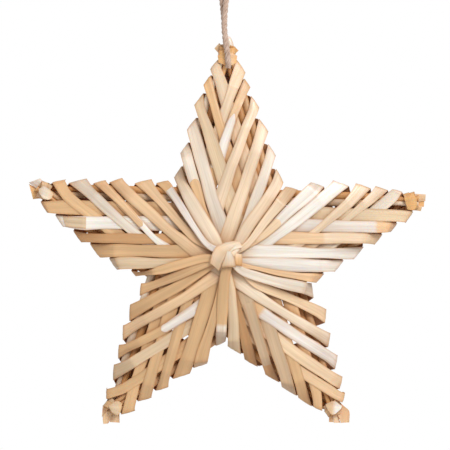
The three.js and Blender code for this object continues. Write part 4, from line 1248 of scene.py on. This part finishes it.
# Stalks of the frame bundles: two in front, two behind and one between
STALKS = [(-0.5, 0.52, 1.0), (0.5, 0.52, 1.0), (-0.5, -0.52, 1.0), (0.5, -0.52, 1.0), (0.0, 0.0, 0.8)]
STALK_TONES = ["pale", "golden", "light_tan", "tan", "golden"]
STALK_PAST_BINDING = 1.4
STALK_STEP = 2.4
STALK_BLUR = 2.0
STALK_WANDER = 0.12
STALK_HALF = 0.49
STALK_INSET, STALK_SPARE = 0.1, 0.03
for number, bundle in enumerate(BUNDLES):
    rng = random.Random(SEEDS["stalks"] + number)
    past = BINDING_LENGTH / 2 + STALK_PAST_BINDING
    stations = np.arange(-past, bundle["length"] + past, STALK_STEP)
    across = square_to(bundle["along"])
    halves = np.array([bundle_half(bundle, s) for s in stations])
    rises = np.array([bundle_rise(bundle, s) for s in stations])
    rises = blur(rises[:, None], stations, STALK_BLUR)[:, 0]
    axis = bundle["start"] + bundle["along"] * stations[:, None]
    u = np.tile(np.array([across[0], 0, across[1]]), (len(stations), 1))
    v = np.tile(np.array([0.0, -1.0, 0.0]), (len(stations), 1))
    stalks = []
    for k, (side, level, size) in enumerate(STALKS):
        wander = STALK_WANDER * np.sin(stations / 17 + rng.uniform(0, 6))
        offset = side * halves + wander
        raised = rises + level * (BUNDLE_THICKNESS / 2 - STALK_INSET)
        centre = in_row(axis + across * offset[:, None], raised) / MM
        tone = linear(STALK_TONES[(k + number) % 5])
        tint = np.tile(tone, (len(stations), 1)) * (1 + 0.06 * np.sin(stations / 9 + k))[:, None]
        stalks.append(tube(f"stalk_{number}_{k}", centre, u, v, halves * STALK_HALF * size,
                           (BUNDLE_THICKNESS / 4 - STALK_SPARE) * size, tint, around=10))
    made = join(stalks, f"frame_stalks_{TIP_NAMES[bundle['first']]}")
    node = f"frame_bundle_{TIP_NAMES[bundle['first']]}_to_{TIP_NAMES[bundle['second']]}"
    dress(made, STALK, [node])

# Cut ends of the stalks past each binding: flat straws, section by section
CUT_ENDS = {
    "top": [
        ("light_tan", 1.9, [((-2.6, 97.6), (0.4, 100.2)), ((-6.0, 101.2), (-3.7, 103.8))]),
        ("golden", 1.2, [((0.6, 99.6), (3.0, 97.2)), ((3.9, 102.2), (6.0, 100.2))]),
        ("tan", -1.8, [((-0.4, 99.8), (2.4, 97.4)), ((-3.6, 103.2), (-0.9, 103.6))]),
    ],
    "left": [
        ("pale", 2.4, [((-91.6, 28.6), (-88.6, 31.4)), ((-93.4, 30.2), (-90.2, 32.8)),
                       ((-98.6, 34.2), (-93.0, 36.3))]),
        ("golden", 1.3, [((-91.0, 26.4), (-90.0, 30.4)), ((-94.2, 26.4), (-93.0, 30.2)),
                         ((-96.6, 25.9), (-98.6, 33.4))]),
        ("tan", -1.6, [((-91.0, 27.4), (-90.4, 31.4)), ((-96.6, 26.3), (-96.0, 31.6))]),
    ],
    "lower_left": [
        ("peach_tan", 1.2, [((-57.2, -75.6), (-55.8, -77.4)), ((-59.2, -76.4), (-58.0, -77.7)),
                            ((-61.8, -77.1), (-62.2, -83.0))]),
        ("light_tan", 2.3, [((-57.4, -76.8), (-55.2, -79.0)), ((-58.6, -77.8), (-56.7, -80.4)),
                            ((-62.1, -82.8), (-58.3, -84.6)), ((-61.4, -86.3), (-59.1, -86.0))]),
        ("light_tan", 1.7, [((-56.6, -77.4), (-53.6, -78.8)), ((-57.2, -80.0), (-53.4, -81.4)),
                            ((-58.2, -85.4), (-53.4, -85.7))]),
        ("brown_tan", -1.6, [((-57.4, -77.0), (-53.6, -79.0)), ((-61.4, -83.4), (-55.0, -85.0))]),
    ],
    "lower_right": [
        ("peach_tan", 2.2, [((52.8, -78.4), (56.6, -75.4)), ((54.3, -80.6), (58.3, -77.3)),
                            ((55.6, -82.5), (61.4, -79.6)), ((57.3, -85.7), (61.2, -85.5))]),
        ("peach", 1.5, [((51.8, -78.2), (54.2, -78.2)), ((52.6, -80.8), (54.6, -80.8)),
                        ((53.6, -85.8), (57.0, -85.7))]),
        ("tan", 1.0, [((50.8, -78.6), (52.6, -78.6)), ((51.3, -80.8), (52.7, -80.8)),
                      ((51.2, -85.4), (53.3, -85.5))]),
        ("brown_tan", -1.6, [((51.6, -78.0), (55.6, -77.0)), ((53.4, -84.6), (59.4, -84.0))]),
    ],
    "right": [
        ("light_tan", 2.2, [((89.6, 28.4), (89.6, 24.4)), ((92.3, 28.6), (92.3, 24.4)),
                            ((99.4, 28.2), (99.2, 25.0))]),
        ("golden", 1.5, [((89.8, 25.4), (89.8, 22.4)), ((92.8, 24.6), (92.8, 22.0)),
                         ((98.8, 25.0), (98.5, 22.1))]),
        ("tan", 1.9, [((89.4, 24.0), (89.4, 20.8)), ((92.3, 22.6), (92.3, 20.3)),
                      ((97.8, 22.6), (97.0, 20.0))]),
        ("brown_tan", -1.6, [((90.0, 27.4), (90.0, 22.0)), ((98.4, 27.0), (97.6, 22.4))]),
    ],
}
CUT_END_STEP = 0.25
for tip, rows in CUT_ENDS.items():
    rng = random.Random(SEEDS["cut_ends"] + len(rows) + len(tip))
    ends = []
    for k, (tone, rise, sections) in enumerate(rows):
        laid = [(p, q, rise + CUT_END_STEP * i) for i, (p, q) in enumerate(sections)]
        ends.append(placed_strip(f"end_{tip}_{k}", laid, [tone] * len(laid), rng, cup=0.45, soften=0.9,
                                 thickness=0.34, edge_tint=0.3, fold_tint=0.0))
    made = join(ends, f"cut_ends_{tip}")
    dress(made, BAND)

# Tip bindings: a straw wound twice round the crossed bundles, a little askew
BINDING_TONES = [("golden", "golden"), ("pale_olive", "light_tan"), ("pale_olive", "tan"),
                 ("pale_olive", "tan"), ("golden", "golden")]
# The turns of a binding: how far out each lies, its slant, and how much narrower than the binding it is
WRAPS = [(0.20, 0.8, 0.6), (0.62, -1.0, 1.8)]


def wrap(name, binding, offset, skew, width, tones, rng):
    """One turn of flat straw round a tip, offset out from the ring's inner face."""
    corner = BINDING_THICKNESS + offset
    outline = []
    for sx, sy, quadrant in ((1, 1, 0), (-1, 1, 1), (-1, -1, 2), (1, -1, 3)):
        for k in range(5):
            angle = (quadrant + k / 4) * math.pi / 2
            outline.append((
                sx * (binding["width"] - BINDING_THICKNESS) + math.cos(angle) * corner,
                sy * (binding["depth"] - BINDING_THICKNESS) + math.sin(angle) * corner))
    outline = np.array(outline + outline[:2])
    share = np.linspace(0, 1, len(outline))
    slant = skew * outline[:, 0] / binding["width"]
    middle = binding["tip"] + binding["across"] * outline[:, :1]
    lefts = middle + binding["inward"] * (slant - width / 2)[:, None]
    rights = middle + binding["inward"] * (slant + width / 2)[:, None]
    colours = mix(linear(tones[0])[None, :], linear(tones[1])[None, :], share[:, None])
    rises = outline[:, 1] + 0.06 * share
    return strip_mesh(name, lefts, rights, rises, colours, rng, cup=0.12, soften=0.35)


for i, binding in enumerate(BINDINGS):
    rng = random.Random(SEEDS["wraps"] + i)
    turns = []
    for k, (offset, skew, less) in enumerate(WRAPS):
        tones = BINDING_TONES[i][::-1] if k else BINDING_TONES[i]
        turns.append(wrap(f"wrap_{i}_{k}", binding, offset, skew, BINDING_LENGTH - less, tones, rng))
    made = join(turns, f"tip_wraps_{TIP_NAMES[i]}")
    dress(made, BAND, [f"tip_binding_{TIP_NAMES[i]}"])

# Straw folded over on each binding: the last turn, creased along a ridge
TIP_FOLDS = {
    "top": (["golden", "golden", "light_tan", "golden"], [
        ((-4.4, 97.4), (-3.9, 93.9), -0.9), ((-1.4, 99.2), (-1.0, 93.0), -0.25),
        ((2.2, 99.1), (2.6, 92.7), -0.25), ((5.3, 97.3), (4.8, 93.6), -0.9)]),
    "left": (["pale_olive", "pale", "cream", "light_tan"], [
        ((-93.6, 30.8), (-93.2, 28.8), 0.3), ((-90.9, 32.6), (-91.4, 26.2), 0.9),
        ((-88.4, 31.0), (-88.9, 25.4), 1.0), ((-86.2, 28.6), (-87.2, 26.2), 0.3)]),
    "lower_left": (["light_tan", "pale_olive", "pale_olive", "tan"], [
        ((-58.6, -77.0), (-58.0, -78.6), 0.3), ((-55.9, -75.0), (-56.9, -80.6), 0.9),
        ((-53.9, -74.5), (-54.2, -82.0), 1.0), ((-52.0, -75.8), (-52.8, -80.2), 0.3)]),
    "lower_right": (["light_tan", "light_tan", "silver", "silver"], [
        ((49.3, -76.2), (50.2, -78.6), 0.3), ((52.9, -74.3), (52.2, -81.4), 1.0),
        ((54.6, -75.0), (54.1, -81.0), 1.0), ((57.5, -77.1), (56.9, -78.6), 0.3)]),
    "right": (["golden", "golden", "golden", "golden"], [
        ((88.4, 26.8), (90.2, 20.8), 0.2), ((90.9, 28.0), (92.2, 20.1), 0.9),
        ((92.9, 28.9), (93.8, 20.5), 0.8), ((94.5, 26.4), (94.8, 22.8), 0.1)]),
}
TIP_FOLD_ABOVE = 0.35
for tip, (tones, sections) in TIP_FOLDS.items():
    rng = random.Random(SEEDS["tip_folds"] + len(tip))
    face = BINDINGS[TIP_NAMES.index(tip)]["face"] + TIP_FOLD_ABOVE
    laid = [(p, q, face + up) for p, q, up in sections]
    made = placed_strip(f"tip_fold_{tip}", laid, tones, rng,
                        cup=0.1, soften=0.4, edge_tint=0.3, fold_tint=0.1)
    dress(made, BAND)

# Folded strap over the crossing: the straw that holds the centre
over_knot = np.arange(-KNOT_WIDTH / 2, KNOT_WIDTH / 2, CELL)
around_x, around_z = np.meshgrid(over_knot, over_knot)
inside = (2 * around_x / KNOT_WIDTH) ** 2 + (2 * around_z / KNOT_WIDTH) ** 2 <= 1
CREST = float(field_at("front", WAIST_POINT + np.stack([around_x[inside], around_z[inside]], axis=-1)).max())
STRAPS = [
    # The cream section of strap_over is a painted highlight
    ("strap_over", ["sand", "cream", "peach", "sand", "light_tan"], [
        ((5.4, 5.4), (8.0, 1.8), 0.2), ((-0.6, 4.5), (4.0, 0.4), 1.3), ((-5.4, 2.4), (0.2, -1.8), 1.7),
        ((-7.5, -1.5), (-2.1, -5.4), 1.3), ((-8.2, -5.6), (-3.7, -9.6), 0.1)]),
    # strap_glint: peach straw whose pale middle is a painted highlight
    ("strap_glint", ["peach", "pale", "peach"], [
        ((6.0, 4.9), (8.0, 2.4), -2.2), ((3.9, 2.9), (6.3, 0.2), 0.9), ((0.9, 0.0), (3.9, -2.6), 1.9)]),
    ("strap_front", ["pale", "cream", "peach", "peach_tan", "tan"], [
        ((0.2, 0.2), (2.2, 0.0), 1.9), ((-1.2, -3.6), (3.9, -3.2), 2.3), ((-2.4, -7.0), (4.6, -6.8), 2.0),
        ((-2.5, -7.7), (4.7, -7.5), 1.5), ((-2.4, -8.0), (4.6, -7.8), 0.2)]),
    ("strap_side", ["peach", "peach_tan", "golden", "golden"], [
        ((3.9, -0.9), (7.6, -1.4), 1.0), ((3.8, -3.0), (7.7, -3.4), 1.5), ((4.1, -6.3), (7.7, -6.7), 1.2),
        ((4.3, -7.0), (7.6, -7.4), 0.0)]),
]
rng = random.Random(SEEDS["straps"])
STRAP_ABOVE = 0.1
straps = []
for name, tones, sections in STRAPS:
    laid = [(p, q, CREST + STRAP_ABOVE + up) for p, q, up in sections]
    straps.append(placed_strip(name, laid, tones, rng, cup=0.3, soften=0.7, fold_tint=0.2))
made = join(straps, "centre_straps")
dress(made, BAND, ["centre_knot"])

# Shade between the layers, from how high the straws beside each point stand
SHADE_DEPTH = np.array([0.30, 0.51, 0.70])
SHADE_WAYS = 12
SHADE_REACHES = (0.5, 1.0, 1.8, 3.0, 5.0)
SHADE_ABOVE = 0.4
SHADE_STRENGTH = 1.25


def shade(made):
    """Darkens a piece's tones where the straws beside it stand higher."""
    data = made.data
    count = len(data.vertices)
    points, normals = np.zeros(count * 3, np.float32), np.zeros(count * 3, np.float32)
    data.vertices.foreach_get("co", points)
    data.vertices.foreach_get("normal", normals)
    points, normals = points.reshape(-1, 3) / MM, normals.reshape(-1, 3)
    plan = np.stack([points[:, 0] - FRAME_SHIFT, points[:, 2] + FRAME_DROP], axis=1)
    tone = data.attributes["tone"]
    colours = np.zeros(count * 4, np.float32)
    tone.data.foreach_get("color", colours)
    colours = colours.reshape(-1, 4)
    for side, sign in (("front", -1), ("back", 1)):
        own = sign * points[:, 1]
        closed = np.zeros(count)
        for k in range(SHADE_WAYS):
            angle = 2 * math.pi * k / SHADE_WAYS
            way = np.array([math.cos(angle), math.sin(angle)])
            horizon = np.zeros(count)
            for reach in SHADE_REACHES:
                at = cells(plan + way * reach)
                over = FIELDS[side][at[:, 1], at[:, 0]] - own - SHADE_ABOVE
                horizon = np.maximum(horizon, np.where(over > 0, over / np.hypot(over, reach), 0))
            closed += horizon / SHADE_WAYS
        facing = np.clip(sign * normals[:, 1] * 3 + 0.5, 0, 1)
        closed = np.clip(closed * SHADE_STRENGTH, 0, 1) * facing
        colours[:, :3] *= 1 - closed[:, None] * SHADE_DEPTH
    tone.data.foreach_set("color", colours.reshape(-1))


for made in list(bpy.context.scene.objects):
    if made.name.startswith(("straw_strip", "straw_over", "frame_stalks")):
        shade(made)

# Pale fold of straw behind the twine at the top
rng = random.Random(SEEDS["tip_curl"])
made = placed_strip("tip_curl_top", [
    ((-0.4, 97.6), (4.2, 97.0), 3.4), ((-0.6, 101.0), (4.1, 100.6), 3.2), ((-0.8, 104.2), (3.2, 104.2), 3.0),
    ((-0.6, 107.2), (1.9, 107.4), 2.4)], ["pale"] * 4, rng, cup=0.8, soften=0.9, ends=("cut", "round"))
dress(made, BAND)

# Studio: white surround, pale floor, soft light from the upper right
FLOOR_SIZE = 6
FLOOR_LEVEL = -0.62
bpy.ops.object.select_all(action="DESELECT")
bpy.ops.mesh.primitive_plane_add(size=FLOOR_SIZE, location=(0, 0, FLOOR_LEVEL))
floor = fresh("studio_floor")
floor_paint = bpy.data.materials.new("pale_floor")
floor_paint.use_nodes = True
paint = floor_paint.node_tree.nodes["Principled BSDF"].inputs
paint["Base Color"].default_value = (0.85, 0.85, 0.85, 1)
paint["Roughness"].default_value = 0.9
floor.data.materials.append(floor_paint)

# The surround is seen as pure white, and lights the star more softly than that
WHITE = (1, 1, 1, 1)
world = bpy.data.worlds.new("studio")
add, link = node_maker(world)
seen = add("Background", {"Color": WHITE, "Strength": 1.0})
lit = add("Background", {"Color": WHITE, "Strength": 0.66})
by_ray = add("MixShader")
link(add("LightPath"), "Is Camera Ray", by_ray, 0)
link(lit, 0, by_ray, 1)
link(seen, 0, by_ray, 2)
link(by_ray, 0, add("OutputWorld"), "Surface")
bpy.context.scene.world = world

KEY_PLACE, KEY_SIZE, KEY_POWER = (0.45, -0.80, 0.45), 0.35, 7.2
STAR_CENTRE = (0.0, 0.0, -0.148)
key_data = bpy.data.lights.new("key", "AREA")
key_data.shape = "SQUARE"
key_data.size = KEY_SIZE
key_data.energy = KEY_POWER
key = bpy.data.objects.new("key", key_data)
bpy.context.scene.collection.objects.link(key)
key.location = KEY_PLACE
key.rotation_euler = (Vector(STAR_CENTRE) - Vector(KEY_PLACE)).to_track_quat("-Z", "Y").to_euler()
bpy.context.scene.view_settings.view_transform = "Standard"
